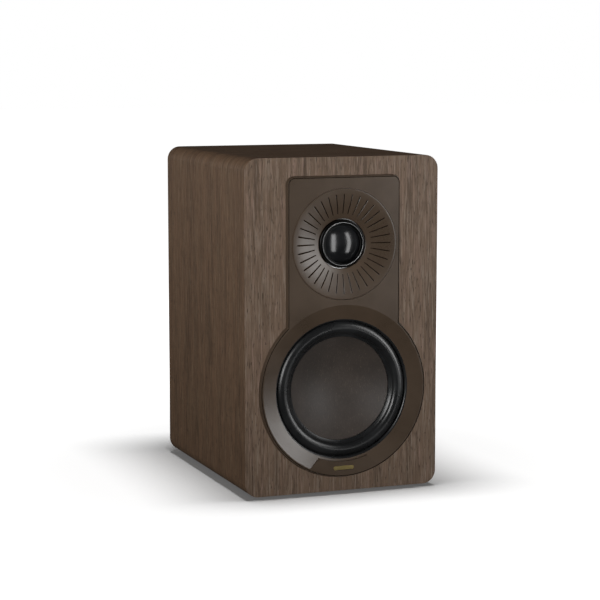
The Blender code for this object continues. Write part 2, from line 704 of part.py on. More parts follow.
def build_woofer():
    """The whole drive unit, front to back."""
    top, under = -FLANGE_SINK, -FLANGE_SINK - FLANGE_THICK
    skirt_in = SKIRT_RADIUS - BASKET_RIM
    basket = turned(
        "woofer_basket",
        [
            (skirt_in, top),
            (FLANGE_RADIUS, top),
            (FLANGE_RADIUS, under),
            (SKIRT_RADIUS, under),
            (BASKET_END_RADIUS + BASKET_WALL, LEDGE - BASKET_KINK),
            (BASKET_END_RADIUS, BASKET_END),
            (BASKET_MOUTH, BASKET_END),
            (BASKET_MOUTH, BASKET_END + BASKET_FLOOR),
            (BASKET_END_RADIUS - LEDGE_WIDTH, BASKET_END + BASKET_FLOOR),
            (BASKET_END_RADIUS - LEDGE_WIDTH, LEDGE),
            (BASKET_END_RADIUS + SPIDER_ROOM, LEDGE),
        ],
        WOOFER_AT,
        "coated_steel",
    )
    across = SKIRT_RADIUS * 3
    middle = (0, out((under + LEDGE) / 2), WOOFER_Z)
    tall = under - LEDGE - BASKET_BRIDGE
    cut(
        basket,
        box("cut_windows_across", (across, tall, BASKET_WINDOW), middle),
        box("cut_windows_down", (BASKET_WINDOW, tall, across), middle),
        bores(
            "cut_basket_bores",
            WOOFER_SCREWS,
            SCREW_SHANK[0] + SCREW_CLEAR,
            out(top + CUT_OVER),
            out(under - CUT_OVER),
        ),
    )
    for number, (x, z) in enumerate(WOOFER_SCREWS, 1):
        screw_piece(f"woofer_screw_{number}", x, z, top + GAP, SCREW_HEAD, SCREW_SHANK)

    lip = top + GAP + SURROUND_THICK / 2
    edge_in = (CONE_RADIUS + SURROUND_FOOT[0], -CONE_RIM_SINK + SURROUND_FOOT[1])
    profile = [(ROLL_OUTER + GLUE_LIP, lip)]
    profile += roll(ROLL_INNER, ROLL_OUTER, lip, -SURROUND_THICK / 2, 6)
    profile += [edge_in]
    turned("woofer_surround", profile, WOOFER_AT, "black_rubber", shell=SURROUND_THICK)
    seat = lip + SURROUND_THICK / 2 + GAP
    disc_ring(
        "woofer_gasket",
        ROLL_OUTER + SURROUND_THICK,
        ROLL_OUTER + GLUE_LIP,
        seat,
        -2 * GAP,
        WOOFER_AT,
        "black_rubber",
    )

    steps = 5
    bowl = [(CONE_RADIUS * i / steps, cone_reach(CONE_RADIUS * i / steps)) for i in range(steps + 1)]
    turned("woofer_cone", bowl, WOOFER_AT, "fibre_cone", shell=CONE_THICK)

    outside = COIL_RADIUS + FORMER_WALL
    plate_top = BASKET_END - GAP
    plate_low = plate_top - PLATE_THICK
    coil_mid = (plate_top + plate_low) / 2
    coil_low, coil_high = coil_mid - COIL_LENGTH / 2, coil_mid + COIL_LENGTH / 2
    half_wall = CONE_THICK * 0.6  # of the cone, along the axis
    former_top = cone_reach(COIL_RADIUS) - half_wall - GAP
    disc_ring(
        "woofer_coil_former",
        COIL_RADIUS,
        outside,
        coil_low - FORMER_WALL,
        former_top,
        WOOFER_AT,
        "polyimide",
        MEDIUM,
    )
    coil_in = outside + GAP
    coil_out = coil_in + COIL_WALL
    disc_ring("woofer_voice_coil", coil_in, coil_out, coil_low, coil_high, WOOFER_AT, "copper", MEDIUM)
    waves = []
    spider_out, spider_in = BASKET_END_RADIUS - SPIDER_THICK, outside + GAP + SPIDER_THICK / 4
    sheet = LEDGE + GAP + SPIDER_THICK * 0.6
    for i in range(SPIDER_FOLDS + 1):
        radius = spider_out + (spider_in - spider_out) * i / SPIDER_FOLDS
        swing = SPIDER_WAVE * (1, -1)[i % 2] if 1 < i < SPIDER_FOLDS else 0.0
        waves.append((radius, sheet + swing))
    turned("woofer_spider", waves, WOOFER_AT, "spider_cloth", steps=MEDIUM, shell=SPIDER_THICK)

    bore = coil_out + COIL_CLEAR
    disc_ring(
        "woofer_top_plate",
        bore,
        MAGNET_RADIUS - YOKE_MARGIN / 2,
        plate_low,
        plate_top,
        WOOFER_AT,
        "coated_steel",
    )
    magnet_top = plate_low - GAP
    magnet_low = magnet_top - MAGNET_THICK
    disc_ring(
        "woofer_magnet",
        bore + MAGNET_SETBACK,
        MAGNET_RADIUS,
        magnet_low,
        magnet_top,
        WOOFER_AT,
        "ferrite",
    )
    pole = COIL_RADIUS - COIL_CLEAR
    build_yoke("woofer_yoke", WOOFER_AT, pole, plate_top, magnet_low, YOKE_THICK, MAGNET_RADIUS)


def build_yoke(name, at, pole, pole_top, magnet_low, thick, magnet_radius):
    """The back plate with its vented pole, in one piece."""
    top = magnet_low - GAP
    edge = magnet_radius - YOKE_MARGIN
    profile = [
        (VENT_RADIUS, pole_top),
        (pole, pole_top),
        (pole, top),
        (edge, top),
        (edge, top - thick),
        (VENT_RADIUS, top - thick),
    ]
    turned(name, profile, at, "coated_steel", steps=MEDIUM)


def waveguide_reach(radius):
    """Front surface of the flare round the dome."""
    way = (WAVEGUIDE_RADIUS - radius) / (WAVEGUIDE_RADIUS - THROAT_RADIUS)
    return TRIM_RAISE - WAVEGUIDE_DROP * way**WAVEGUIDE_POWER


def build_tweeter():
    """The waveguide plate and the dome unit behind it."""
    low = -TWEETER_FLANGE_SINK - TWEETER_FLANGE_THICK - GAP / 2
    pocket = TWEETER_POCKET
    flare = []
    steps = 6
    for i in range(steps + 1):
        radius = THROAT_RADIUS + (WAVEGUIDE_RADIUS - THROAT_RADIUS) * i / steps
        flare.append((radius, waveguide_reach(radius)))
    recess = TWEETER_PLATE_RADIUS + 2 * GAP
    faceplate = turned(
        "tweeter_faceplate",
        [*flare, (WAVEGUIDE_RADIUS, low), (recess, low), (recess, pocket), (THROAT_RADIUS, pocket)],
        TWEETER_AT,
        "brown_moulding",
    )
    half = TWEETER_FLANGE_HALF
    flange = plate(
        "join_flange",
        [
            rounded_rect(half, half, TWEETER_FLANGE_CORNER, 0, TWEETER_Z),
            circle(WAVEGUIDE_RADIUS - FLANGE_OVERLAP, 0, TWEETER_Z),
        ],
        out(-TWEETER_FLANGE_SINK),
        out(-TWEETER_FLANGE_SINK - TWEETER_FLANGE_THICK),
    )
    boolean(faceplate, flange, "UNION")
    cut(
        faceplate,
        bores(
            "cut_faceplate_bores",
            TWEETER_SCREWS,
            SCREW_SHANK[0] + SCREW_CLEAR,
            out(0.0),
            out(low - CUT_OVER),
        ),
    )
    head = (TWEETER_HEAD_RADIUS, TWEETER_FLANGE_SINK - 2 * GAP)
    for number, (x, z) in enumerate(TWEETER_SCREWS, 1):
        screw_piece(f"tweeter_screw_{number}", x, z, -TWEETER_FLANGE_SINK + GAP, head, SCREW_SHANK)

    ball = (DOME_RADIUS**2 + DOME_RISE**2) / (2 * DOME_RISE)
    cap = []
    for i in range(4):
        radius = DOME_RADIUS * i / 3
        cap.append((radius, -DOME_SINK + DOME_RISE - ball + math.sqrt(ball**2 - radius**2)))
    turned("tweeter_dome", cap, TWEETER_AT, "silk_dome", steps=MEDIUM, shell=DOME_THICK)
    foot = THROAT_RADIUS - GAP - TWEETER_SKIN
    profile = [(THROAT_RADIUS + TWEETER_GLUE_RING, TWEETER_LIP), (foot, TWEETER_LIP)]
    profile += roll(DOME_RADIUS + 2 * GAP, foot, -DOME_SINK, ROLL_CREST, 5)[1:]
    turned(
        "tweeter_surround", profile, TWEETER_AT, "silk_dome", steps=MEDIUM, shell=TWEETER_SKIN
    )
    plate_top = TWEETER_PLATE_TOP
    plate_low = plate_top - TWEETER_PLATE_THICK
    coil = DOME_RADIUS - TWEETER_COIL_WALL / 2
    coil_top = -DOME_SINK - DOME_THICK - GAP
    disc_ring(
        "tweeter_voice_coil",
        coil,
        coil + TWEETER_COIL_WALL,
        plate_low - TWEETER_COIL_OVERHANG,
        coil_top,
        TWEETER_AT,
        "copper",
        MEDIUM,
    )
    bore = coil + TWEETER_COIL_WALL + COIL_CLEAR
    disc_ring(
        "tweeter_top_plate",
        bore,
        TWEETER_PLATE_RADIUS,
        plate_low,
        plate_top,
        TWEETER_AT,
        "coated_steel",
        MEDIUM,
    )
    magnet_top = plate_low - GAP
    magnet_low = magnet_top - TWEETER_MAGNET_THICK
    disc_ring(
        "tweeter_magnet",
        bore + MAGNET_SETBACK,
        TWEETER_MAGNET_RADIUS,
        magnet_low,
        magnet_top,
        TWEETER_AT,
        "ferrite",
        MEDIUM,
    )
    build_yoke(
        "tweeter_yoke",
        TWEETER_AT,
        coil - COIL_CLEAR,
        plate_top,
        magnet_low,
        TWEETER_YOKE_THICK,
        TWEETER_MAGNET_RADIUS,
    )


def build_port():
    """The flared reflex tube in the rear panel."""
    mouth = PORT_RADIUS + PORT_FLARE
    face = GAP + PORT_LIP
    bell = face - PORT_FLARE
    flare = []
    for i in range(5):
        a = math.pi / 2 * i / 4
        flare.append((mouth - PORT_FLARE * math.cos(a), bell + PORT_FLARE * math.sin(a)))
    turned(
        "port_tube",
        [
            (PORT_RADIUS, face - PORT_LENGTH),
            *flare,
            (mouth + PORT_RIM, face),
            (mouth + PORT_RIM, GAP),
            (PORT_SHOULDER, GAP),
            (PORT_SHOULDER, GAP - PORT_LIP),
            (PORT_RADIUS + PORT_WALL, bell - PORT_LIP),
            (PORT_RADIUS + PORT_WALL, face - PORT_LENGTH),
        ],
        (0, REAR_Y, PORT_Z),
        "black_plastic",
        steps=MEDIUM,
        rear=True,
    )


def build_terminals():
    """The recessed cup with two screw-down binding posts."""
    face, floor = REAR_Y + GAP + CUP_FACE, REAR_Y - CUP_DEPTH
    half_w, half_h = CUP_RECESS[0] / 2, CUP_RECESS[1] / 2
    cup = plate(
        "terminal_cup",
        [rounded_rect(CUP_FLANGE[0] / 2, CUP_FLANGE[1] / 2, CUP_CORNER, 0, CUP_Z)],
        REAR_Y + GAP,
        face,
        "black_plastic",
    )
    dish = plate(
        "join_dish",
        [rounded_rect(half_w + CUP_WALL, half_h + CUP_WALL, DISH_CORNER, 0, CUP_Z)],
        floor - CUP_WALL,
        face - CUP_FACE / 10,
    )
    boolean(cup, dish, "UNION")
    posts = {"black": -POST_SPACING / 2, "red": POST_SPACING / 2}
    hollow = plate(
        "cut_recess",
        [rounded_rect(half_w, half_h, RECESS_CORNER, 0, CUP_Z)],
        floor,
        face + CUT_OVER,
    )
    cut(
        cup,
        hollow,
        bores(
            "cut_post_holes",
            [(x, CUP_Z) for x in posts.values()],
            SOCKET_RADIUS + GAP,
            floor - CUP_WALL - CUT_OVER,
            floor + CUT_OVER,
        ),
        bores(
            "cut_cup_bores",
            CUP_SCREWS,
            SCREW_SHANK[0] + SCREW_CLEAR,
            REAR_Y - CUT_OVER,
            face + CUT_OVER,
        ),
    )
    for number, (x, z) in enumerate(CUP_SCREWS, 1):
        seat = CUP_FACE + 2 * GAP
        screw_piece(f"terminal_screw_{number}", x, z, seat, SCREW_HEAD, SCREW_SHANK, rear=True)
    for colour, x in posts.items():
        build_post(colour, x)


def build_post(colour, x):
    """One binding post: a fixed stud, a captive washer and the knob that turns on it."""
    at = (x, REAR_Y, CUP_Z)
    collar_low = -CUP_DEPTH + GAP
    collar_top = collar_low + COLLAR_THICK
    tip = POST_REACH - STUD_SINK
    turned(
        f"{colour}_post",
        [
            (0, collar_top - SOCKET_FLOOR),
            (SOCKET_RADIUS, collar_top - SOCKET_FLOOR),
            (SOCKET_RADIUS, tip),
            (STUD_RADIUS, tip),
            (STUD_RADIUS, collar_top),
            (STUD_RADIUS + COLLAR_STEP, collar_top),
            (STUD_RADIUS + COLLAR_STEP, collar_low),
            (SOCKET_RADIUS, collar_low),
            (SOCKET_RADIUS, collar_low - STUD_TAIL),
            (0, collar_low - STUD_TAIL),
        ],
        at,
        "gold_metal",
        ring=False,
        steps=SMALL,
        rear=True,
    )
    bore = STUD_RADIUS + GAP
    washer_low = collar_top + GAP
    washer_top = washer_low + WASHER_THICK
    disc_ring(
        f"{colour}_post_washer",
        bore,
        STUD_RADIUS + WASHER_STEP,
        washer_low,
        washer_top,
        at,
        "gold_metal",
        SMALL,
        True,
    )
    turned(
        f"{colour}_post_knob",
        [
            (bore, POST_REACH),
            (KNOB_RADIUS - KNOB_CHAMFER, POST_REACH),
            (KNOB_RADIUS, POST_REACH - KNOB_CHAMFER),
            (KNOB_RADIUS, washer_top + GAP),
            (bore, washer_top + GAP),
        ],
        at,
        f"{colour}_plastic",
        steps=SMALL,
        rear=True,
    )


def build_crossover():
    """The dividing network on the cabinet's floor, its wires and the lining."""
    wide, deep, thick = BOARD_SIZE
    rear = REAR_INNER_Y - BOARD_CLEAR
    board_z = FLOOR_Z + GAP
    box(
        "crossover_board", BOARD_SIZE, (0, rear - deep / 2, board_z + thick / 2), "circuit_board"
    )
    seat = board_z + thick + GAP
    left, right = -wide / 4, wide / 4 + BOARD_ASIDE
    for (unit, (setback, inner, outer, height)), x in zip(INDUCTORS.items(), (left, right)):
        at = (x, rear - setback, seat + height / 2)
        name = f"{unit}_inductor"
        coil = disc_ring(name, inner, outer, -height / 2, height / 2, at, "copper", MEDIUM)
        coil.rotation_euler = (0, 0, 0)
    for unit, (setback, radius) in CAPACITORS.items():
        at = (right, rear - setback, seat + radius)
        rod(f"{unit}_capacitor", radius, CAPACITOR_LENGTH, at, "X", SMALL, "capacitor_film")
    at = (left, rear - RESISTOR_SETBACK, seat + RESISTOR_SIZE[2] / 2)
    box("crossover_resistor", RESISTOR_SIZE, at, "ceramic")

    front = rear - deep
    lead = seat + WIRE_RADIUS
    magnet_x = -MAGNET_RADIUS - 0.006
    skirt_x = -BASKET_END_RADIUS - BASKET_WALL - WIRE_RADIUS - GAP
    wire(
        "woofer_cable",
        [
            (left - 0.006, front + 0.008, lead),
            (left - 0.010, front + 0.001, lead + 0.006),
            (magnet_x, front - 0.012, FLOOR_Z + 0.034),
            (magnet_x, out(BASKET_END) + 0.016, WOOFER_Z - 0.012),
            (skirt_x, out(BASKET_END) + 0.002, WOOFER_Z),
        ],
        "wire_sleeve",
    )
    back = out(TWEETER_END) + GAP + WIRE_RADIUS
    side = INNER_HALF_W - WADDING_THICK - 0.005
    wire(
        "tweeter_cable",
        [
            (right + 0.006, front + 0.006, lead),
            (right + 0.012, front + 0.002, lead + 0.014),
            (side, front - 0.010, WOOFER_Z),
            (side, (front + back) / 2, (WOOFER_Z + TWEETER_Z) / 2),
            (side * 0.8, back + 0.010, TWEETER_Z - 0.030),
            (0.020, back, TWEETER_Z - 0.018),
        ],
        "wire_sleeve",
    )

    outside, top = INNER_HALF_W - GAP, CEILING_Z - GAP
    inside, under, hem = outside - WADDING_THICK, top - WADDING_THICK, FLOOR_Z + WADDING_HEM
    arch = [
        (-outside, hem),
        (-inside, hem),
        (-inside, under),
        (inside, under),
        (inside, hem),
        (outside, hem),
        (outside, top),
        (-outside, top),
    ]
    plate(
        "damping_wadding",
        [arch],
        BAFFLE_BACK_Y + WADDING_END,
        REAR_INNER_Y - WADDING_END,
        "polyester_wadding",
    )


def shade_turned():
    """Screw shapes are shaded smooth at shallow edges."""
    for obj in bpy.data.collections["bookshelf_speaker"].objects:
        for modifier in obj.modifiers:
            if modifier.type == "SCREW":
                modifier.use_smooth_shade = True


def main():
    """Builds the loudspeaker."""
    clear_scene()
    new_collection("bookshelf_speaker")
    new_collection("cutters")
    build_cabinet()
    build_trim()
    build_woofer()
    build_tweeter()
    build_port()
    build_terminals()
    build_crossover()
    shade_turned()


main()
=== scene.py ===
"""Finished look of a compact two-way bookshelf loudspeaker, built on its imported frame.

Every class below is one sub-assembly: its fields are the sizes of what it adds to the
frame's solids, and its methods build the meshes and dress them. Metres; +Z up, the baffle
faces -Y. A turned piece is drawn as (radius, reach) points, where reach is the distance
out of the face that it is mounted on.
"""

from __future__ import annotations

import logging
import math
from dataclasses import dataclass, field
from enum import Enum
from functools import cache
from typing import Callable, Iterable, Sequence

import bmesh
import bpy
from bpy.types import Material, Mesh, Node, NodeSocket, NodeTree, Object
from mathutils import Matrix, Vector, noise
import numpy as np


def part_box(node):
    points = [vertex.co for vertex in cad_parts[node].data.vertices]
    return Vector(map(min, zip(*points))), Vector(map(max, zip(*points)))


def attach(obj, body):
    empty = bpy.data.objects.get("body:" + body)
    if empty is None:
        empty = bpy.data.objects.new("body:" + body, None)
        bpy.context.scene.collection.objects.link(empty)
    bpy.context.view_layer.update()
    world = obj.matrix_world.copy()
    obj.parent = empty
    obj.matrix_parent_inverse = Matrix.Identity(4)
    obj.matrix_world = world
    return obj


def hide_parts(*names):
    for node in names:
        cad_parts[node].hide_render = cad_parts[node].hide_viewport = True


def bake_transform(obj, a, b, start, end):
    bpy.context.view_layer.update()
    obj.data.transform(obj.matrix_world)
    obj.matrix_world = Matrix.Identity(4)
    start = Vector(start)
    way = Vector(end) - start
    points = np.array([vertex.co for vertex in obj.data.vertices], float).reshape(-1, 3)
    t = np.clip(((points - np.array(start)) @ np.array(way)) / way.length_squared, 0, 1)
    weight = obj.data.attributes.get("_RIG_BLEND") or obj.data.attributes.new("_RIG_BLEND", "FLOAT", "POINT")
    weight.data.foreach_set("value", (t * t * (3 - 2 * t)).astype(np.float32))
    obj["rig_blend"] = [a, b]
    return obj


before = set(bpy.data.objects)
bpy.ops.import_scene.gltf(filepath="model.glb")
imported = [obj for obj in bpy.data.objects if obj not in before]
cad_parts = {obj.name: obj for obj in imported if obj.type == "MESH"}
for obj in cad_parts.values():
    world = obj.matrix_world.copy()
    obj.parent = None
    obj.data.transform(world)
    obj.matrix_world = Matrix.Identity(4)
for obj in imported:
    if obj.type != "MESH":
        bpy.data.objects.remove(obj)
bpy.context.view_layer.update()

LOG = logging.getLogger("bookshelf_speaker")
Point = tuple[float, float]
Outline = list[Point]


class Facing(Enum):
    """Which way a mounting face looks: the sign of Y that leads out of it."""

    FRONT = -1.0
    REAR = 1.0


class Body(str, Enum):
    """The frame's bodies, by name."""

    CABINET = "cabinet"
    CONE = "woofer_cone_body"
    DOME = "tweeter_dome_body"
    BLACK_WASHER = "black_washer_body"
    BLACK_KNOB = "black_knob_body"
    RED_WASHER = "red_washer_body"
    RED_KNOB = "red_knob_body"


@dataclass(frozen=True)
class Seat:
    """A point on a mounting face, and which way is out of it."""

    x: float
    y: float
    z: float
    facing: Facing = Facing.FRONT

    def out(self, reach: float) -> float:
        """The Y of a reach out of the face."""
        return self.y + self.facing.value * reach

    def at(self, radius: float, angle: float, reach: float) -> Vector:
        """The point at a radius, an angle from +X towards +Z, and a reach."""
        across, up = radius * math.cos(angle), radius * math.sin(angle)
        return Vector((self.x + across, self.out(reach), self.z + up))


@dataclass(frozen=True)
class Datum:
    """Where things are, read from the frame's own solids."""

    front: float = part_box("front_veneer")[0].y
    rear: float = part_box("veneer_wrap")[1].y
    low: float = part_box("front_veneer")[0].z
    high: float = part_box("front_veneer")[1].z
    half_width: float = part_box("front_veneer")[1].x
    trim_face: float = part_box("front_veneer")[0].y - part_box("baffle_trim")[0].y

    @staticmethod
    @cache
    def middle(node: str) -> Vector:
        """The middle of a node's box."""
        low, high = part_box(node)
        return ((low + high) / 2).freeze()

    def front_seat(self, node: str) -> Seat:
        """A seat on the veneered front, on a node's axis."""
        centre = self.middle(node)
        return Seat(centre.x, self.front, centre.z)

    def rear_seat(self, node: str) -> Seat:
        """A seat on the rear panel, on a node's axis."""
        centre = self.middle(node)
        return Seat(centre.x, self.rear, centre.z, Facing.REAR)


DATUM = Datum()


# ---- outlines ---------------------------------------------------------------------------
def arc(cx: float, cz: float, radius: float, start: float, end: float, steps: int) -> Outline:
    """Points along an arc.

    Args:
        cx, cz: its centre.
        radius: its radius.
        start, end: angles in degrees.
        steps: how many chords.

    Returns:
        steps + 1 points, both ends included.
    """
    angles = (math.radians(start + (end - start) * i / steps) for i in range(steps + 1))
    return [(cx + radius * math.cos(a), cz + radius * math.sin(a)) for a in angles]


def circle(radius: float, cx: float = 0.0, cz: float = 0.0, steps: int = 160) -> Outline:
    """A closed circle whose first point isn't repeated."""
    return arc(cx, cz, radius, 0, 360, steps)[:-1]


def rounded_rect(
    half_w: float, half_h: float, radius: float, cx: float = 0.0, cz: float = 0.0, steps: int = 10
) -> Outline:
    """A closed rectangle with round corners.

    Args:
        half_w, half_h: half its width and height.
        radius: its corners' radius.
        cx, cz: its centre.
        steps: chords in each corner.

    Returns:
        Its points.
    """
    points: Outline = []
    for quarter, (sx, sz) in enumerate(((1, 1), (-1, 1), (-1, -1), (1, -1))):
        centre = (cx + sx * (half_w - radius), cz + sz * (half_h - radius))
        points += arc(*centre, radius, quarter * 90, quarter * 90 + 90, steps)
    return points


def soften(points: Sequence[Point], radius: float, steps: int = 4, closed: bool = True) -> Outline:
    """Rounds the corners of a polyline.

    Args:
        points: its corners.
        radius: how far from each corner the rounding starts, at most.
        steps: chords in each rounding.
        closed: whether the last point joins the first.

    Returns:
        The rounded polyline.
    """
    made: Outline = []
    count = len(points)
    for i, corner in enumerate(points):
        if not closed and i in (0, count - 1):
            made.append(corner)
            continue
        here = Vector(corner)
        before, after = Vector(points[i - 1]) - here, Vector(points[(i + 1) % count]) - here
        if before.length < 1e-9 or after.length < 1e-9 or before.angle(after) > math.radians(165):
            made.append(corner)
            continue
        reach = min(radius, before.length * 0.45, after.length * 0.45)
        start, end = here + before.normalized() * reach, here + after.normalized() * reach
        for k in range(steps + 1):
            t = k / steps
            at = start * (1 - t) ** 2 + here * 2 * t * (1 - t) + end * t**2
            made.append((at.x, at.y))
    return made


# ---- meshes -----------------------------------------------------------------------------
def settle(mesh: Mesh, angle: float = 32.0) -> Mesh:
    """Merges doubles, points the faces out and shades smooth but for sharp edges.

    Args:
        mesh: the mesh to settle.
        angle: edges sharper than this, in degrees, stay sharp.

    Returns:
        The same mesh.
    """
    work = bmesh.new()
    work.from_mesh(mesh)
    bmesh.ops.remove_doubles(work, verts=work.verts, dist=2e-7)
    bmesh.ops.recalc_face_normals(work, faces=work.faces)
    work.to_mesh(mesh)
    work.free()
    mesh.shade_smooth()
    mesh.set_sharp_from_angle(angle=math.radians(angle))
    return mesh


def filled(name: str, build: Callable[[bmesh.types.BMesh], None], angle: float = 32.0) -> Mesh:
    """Makes a settled mesh.

    Args:
        name: the mesh's name.
        build: fills a bmesh.
        angle: edges sharper than this stay sharp.

    Returns:
        The mesh.
    """
    mesh = bpy.data.meshes.new(name)
    work = bmesh.new()
    build(work)
    work.to_mesh(mesh)
    work.free()
    return settle(mesh, angle)


def stand(mesh: Mesh) -> Object:
    """Links a mesh as an object at the origin.

    Args:
        mesh: its mesh.

    Returns:
        The object.
    """
    obj = bpy.data.objects.new(mesh.name, mesh)
    bpy.context.scene.collection.objects.link(obj)
    return obj


def turned(
    name: str,
    profile: Sequence[Point],
    seat: Seat,
    steps: int = 144,
    closed: bool = True,
    angle: float = 32.0,
) -> Mesh:
    """A lathe shape on a seat.

    Args:
        name: the mesh's name.
        profile: (radius, reach) points; a radius of nothing is a pole.
        seat: the face and axis that it is turned about.
        steps: how many sides it has.
        closed: whether the profile's last point joins its first.
        angle: edges sharper than this stay sharp.

    Returns:
        The mesh, closed if its profile is closed or ends at the axis.
    """

    def build(work: bmesh.types.BMesh) -> None:
        """Fills the bmesh with rings and the faces between them.

        Args:
            work: the bmesh.
        """
        rings = []
        for radius, reach in profile:
            around = 1 if radius < 1e-7 else steps
            rings.append(
                [
                    work.verts.new(
                        seat.at(radius, math.tau * i / steps, reach)
                    ) for i in range(around)
                ]
            )
        pairs = list(zip(rings, rings[1:]))
        if closed:
            pairs.append((rings[-1], rings[0]))
        for a, b in pairs:
            if len(a) == len(b) == 1:
                continue
            for i in range(steps):
                j = (i + 1) % steps
                corners = [a[i % len(a)], a[j % len(a)], b[j % len(b)], b[i % len(b)]]
                work.faces.new(list(dict.fromkeys(corners)))

    return filled(name, build, angle)


def sheet(
    name: str, outlines: Sequence[Outline], near: float, far: float, edge: float = 0.0
) -> Mesh:
    """A flat plate between two Y planes, with round edges.

    Args:
        name: the mesh's name.
        outlines: (x, z) outlines; those inside the first are holes.
        near, far: the two planes.
        edge: the radius of its edges.

    Returns:
        The plate's mesh.
    """
    curve = bpy.data.curves.new(name, "CURVE")
    curve.dimensions, curve.fill_mode = "2D", "BOTH"
    curve.extrude = (far - near) / 2 - edge
    curve.bevel_depth, curve.bevel_resolution, curve.offset = edge, 2, -edge
    for outline in outlines:
        spline = curve.splines.new("POLY")
        spline.points.add(len(outline) - 1)
        for point, (x, z) in zip(spline.points, outline):
            point.co = (x, z, 0, 1)
        spline.use_cyclic_u = True
    holder = bpy.data.objects.new(name, curve)
    bpy.context.scene.collection.objects.link(holder)
    mesh = bpy.data.meshes.new_from_object(
        holder.evaluated_get(bpy.context.evaluated_depsgraph_get())
    )
    bpy.data.objects.remove(holder)
    bpy.data.curves.remove(curve)
    mesh.name = name
    middle = Matrix.Translation((0, (near + far) / 2, 0))
    mesh.transform(middle @ Matrix.Rotation(math.pi / 2, 4, "X"))
    mesh.materials.clear()
    return flattened(settle(mesh))


def lofted(name: str, rings: Sequence[tuple[Outline, float]], angle: float = 32.0) -> Mesh:
    """A solid through outlines with as many points each, capped at both ends.

    Args:
        name: the mesh's name.
        rings: (outline, y) from one end to the other.
        angle: edges sharper than this stay sharp.

    Returns:
        The closed mesh.
    """

    def build(work: bmesh.types.BMesh) -> None:
        """Fills the bmesh with loops, walls and caps.

        Args:
            work: the bmesh.
        """
        loops = [[work.verts.new((x, y, z)) for x, z in outline] for outline, y in rings]
        for a, b in zip(loops, loops[1:]):
            for i in range(len(a)):
                j = (i + 1) % len(a)
                work.faces.new((a[i], a[j], b[j], b[i]))
        work.faces.new(loops[0])
        work.faces.new(loops[-1])

    return filled(name, build, angle)


def baked(obj: Object) -> Object:
    """Turns an object's evaluated shape into its plain mesh and drops its modifiers.

    Args:
        obj: the object.

    Returns:
        The same object.
    """
    graph = bpy.context.evaluated_depsgraph_get()
    mesh = bpy.data.meshes.new_from_object(obj.evaluated_get(graph))
    obj.modifiers.clear()
    spare, obj.data = obj.data, mesh
    mesh.name = obj.name
    bpy.data.meshes.remove(spare)
    return obj


def flattened(mesh: Mesh) -> Mesh:
    """Keeps the large flat faces flat beside their small round edges.

    Args:
        mesh: the mesh, which is replaced.

    Returns:
        The new mesh.
    """
    obj = stand(mesh)
    modifier = obj.modifiers.new("normals", "WEIGHTED_NORMAL")
    modifier.keep_sharp, modifier.weight = True, 100
    baked(obj)
    made = obj.data
    bpy.data.objects.remove(obj)
    return made


def carved(mesh: Mesh, *cutters: Mesh, edge: float = 0.0, join: Sequence[Mesh] = ()) -> Mesh:
    """Joins and cuts a mesh, then rounds the edges that are left sharp.

    Args:
        mesh: what is cut.
        cutters: closed meshes that are taken away.
        edge: the width of the rounding.
        join: closed meshes that are added first.

    Returns:
        The new mesh.
    """
    obj = stand(mesh)
    helpers = []
    for other, operation in [(m, "UNION") for m in join] + [(m, "DIFFERENCE") for m in cutters]:
        helper = stand(other)
        helpers.append(helper)
        modifier = obj.modifiers.new(operation, "BOOLEAN")
        modifier.operation, modifier.object = operation, helper
    baked(obj)
    if edge:
        settle(obj.data)
        bevel = obj.modifiers.new("edges", "BEVEL")
        bevel.width, bevel.segments = edge, 3
        bevel.limit_method, bevel.angle_limit = "ANGLE", math.radians(12)
        baked(obj)
    made = obj.data
    for helper in (*helpers, obj):
        bpy.data.objects.remove(helper)
    return flattened(settle(made, 30))


def joined(name: str, meshes: Iterable[Mesh]) -> Mesh:
    """Several meshes as one.

    Args:
        name: the new mesh's name.
        meshes: what it is made of.

    Returns:
        The new mesh.
    """
    work = bmesh.new()
    for mesh in meshes:
        work.from_mesh(mesh)
    made = bpy.data.meshes.new(name)
    work.to_mesh(made)
    work.free()
    made.shade_smooth()
    made.set_sharp_from_angle(angle=math.radians(32))
    return made


def cover(
    mesh: Mesh,
    finish: Material | Sequence[Material],
    slot: str,
    body: Body | None,
    *nodes: str,
    name: str = "",
) -> Object:
    """Makes a finished piece of a mesh.

    Args:
        mesh: its mesh, in place.
        finish: its material, or the materials that its faces' indices choose from.
        slot: the record's material slot that it belongs to; not used.
        body: the body that it moves with, or None where it spans two.
        nodes: the frame's nodes that it stands for.
        name: the piece's name, if not the mesh's.

    Returns:
        The piece's object.
    """
    mesh.name = name or mesh.name
    faces = [face.material_index for face in mesh.polygons]
    mesh.materials.clear()
    for material in [finish] if isinstance(finish, Material) else finish:
        mesh.materials.append(material)
    mesh.polygons.foreach_set("material_index", [min(i, len(mesh.materials) - 1) for i in faces])
    obj = stand(mesh)
    if nodes:
        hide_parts(*nodes)
    if body is not None:
        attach(obj, body.value)
    mesh.calc_loop_triangles()
    LOG.info("%s: %d triangles, for %s", obj.name, len(mesh.loop_triangles), ", ".join(nodes))
    return obj


def numbered(name: str, count: int = 4) -> list[str]:
    """The names of a set of like nodes."""
    return [f"{name}_{i + 1}" for i in range(count)]


def dress(finish: Material, *nodes: str) -> None:
    """Gives frame nodes that keep their own shape a material.

    Args:
        finish: the material.
        nodes: the nodes.
    """
    for node in nodes:
        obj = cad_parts[node]
        obj.data.materials.clear()
        obj.data.materials.append(finish)
        LOG.info("%s: keeps its solid, dressed as %s", node, finish.name)


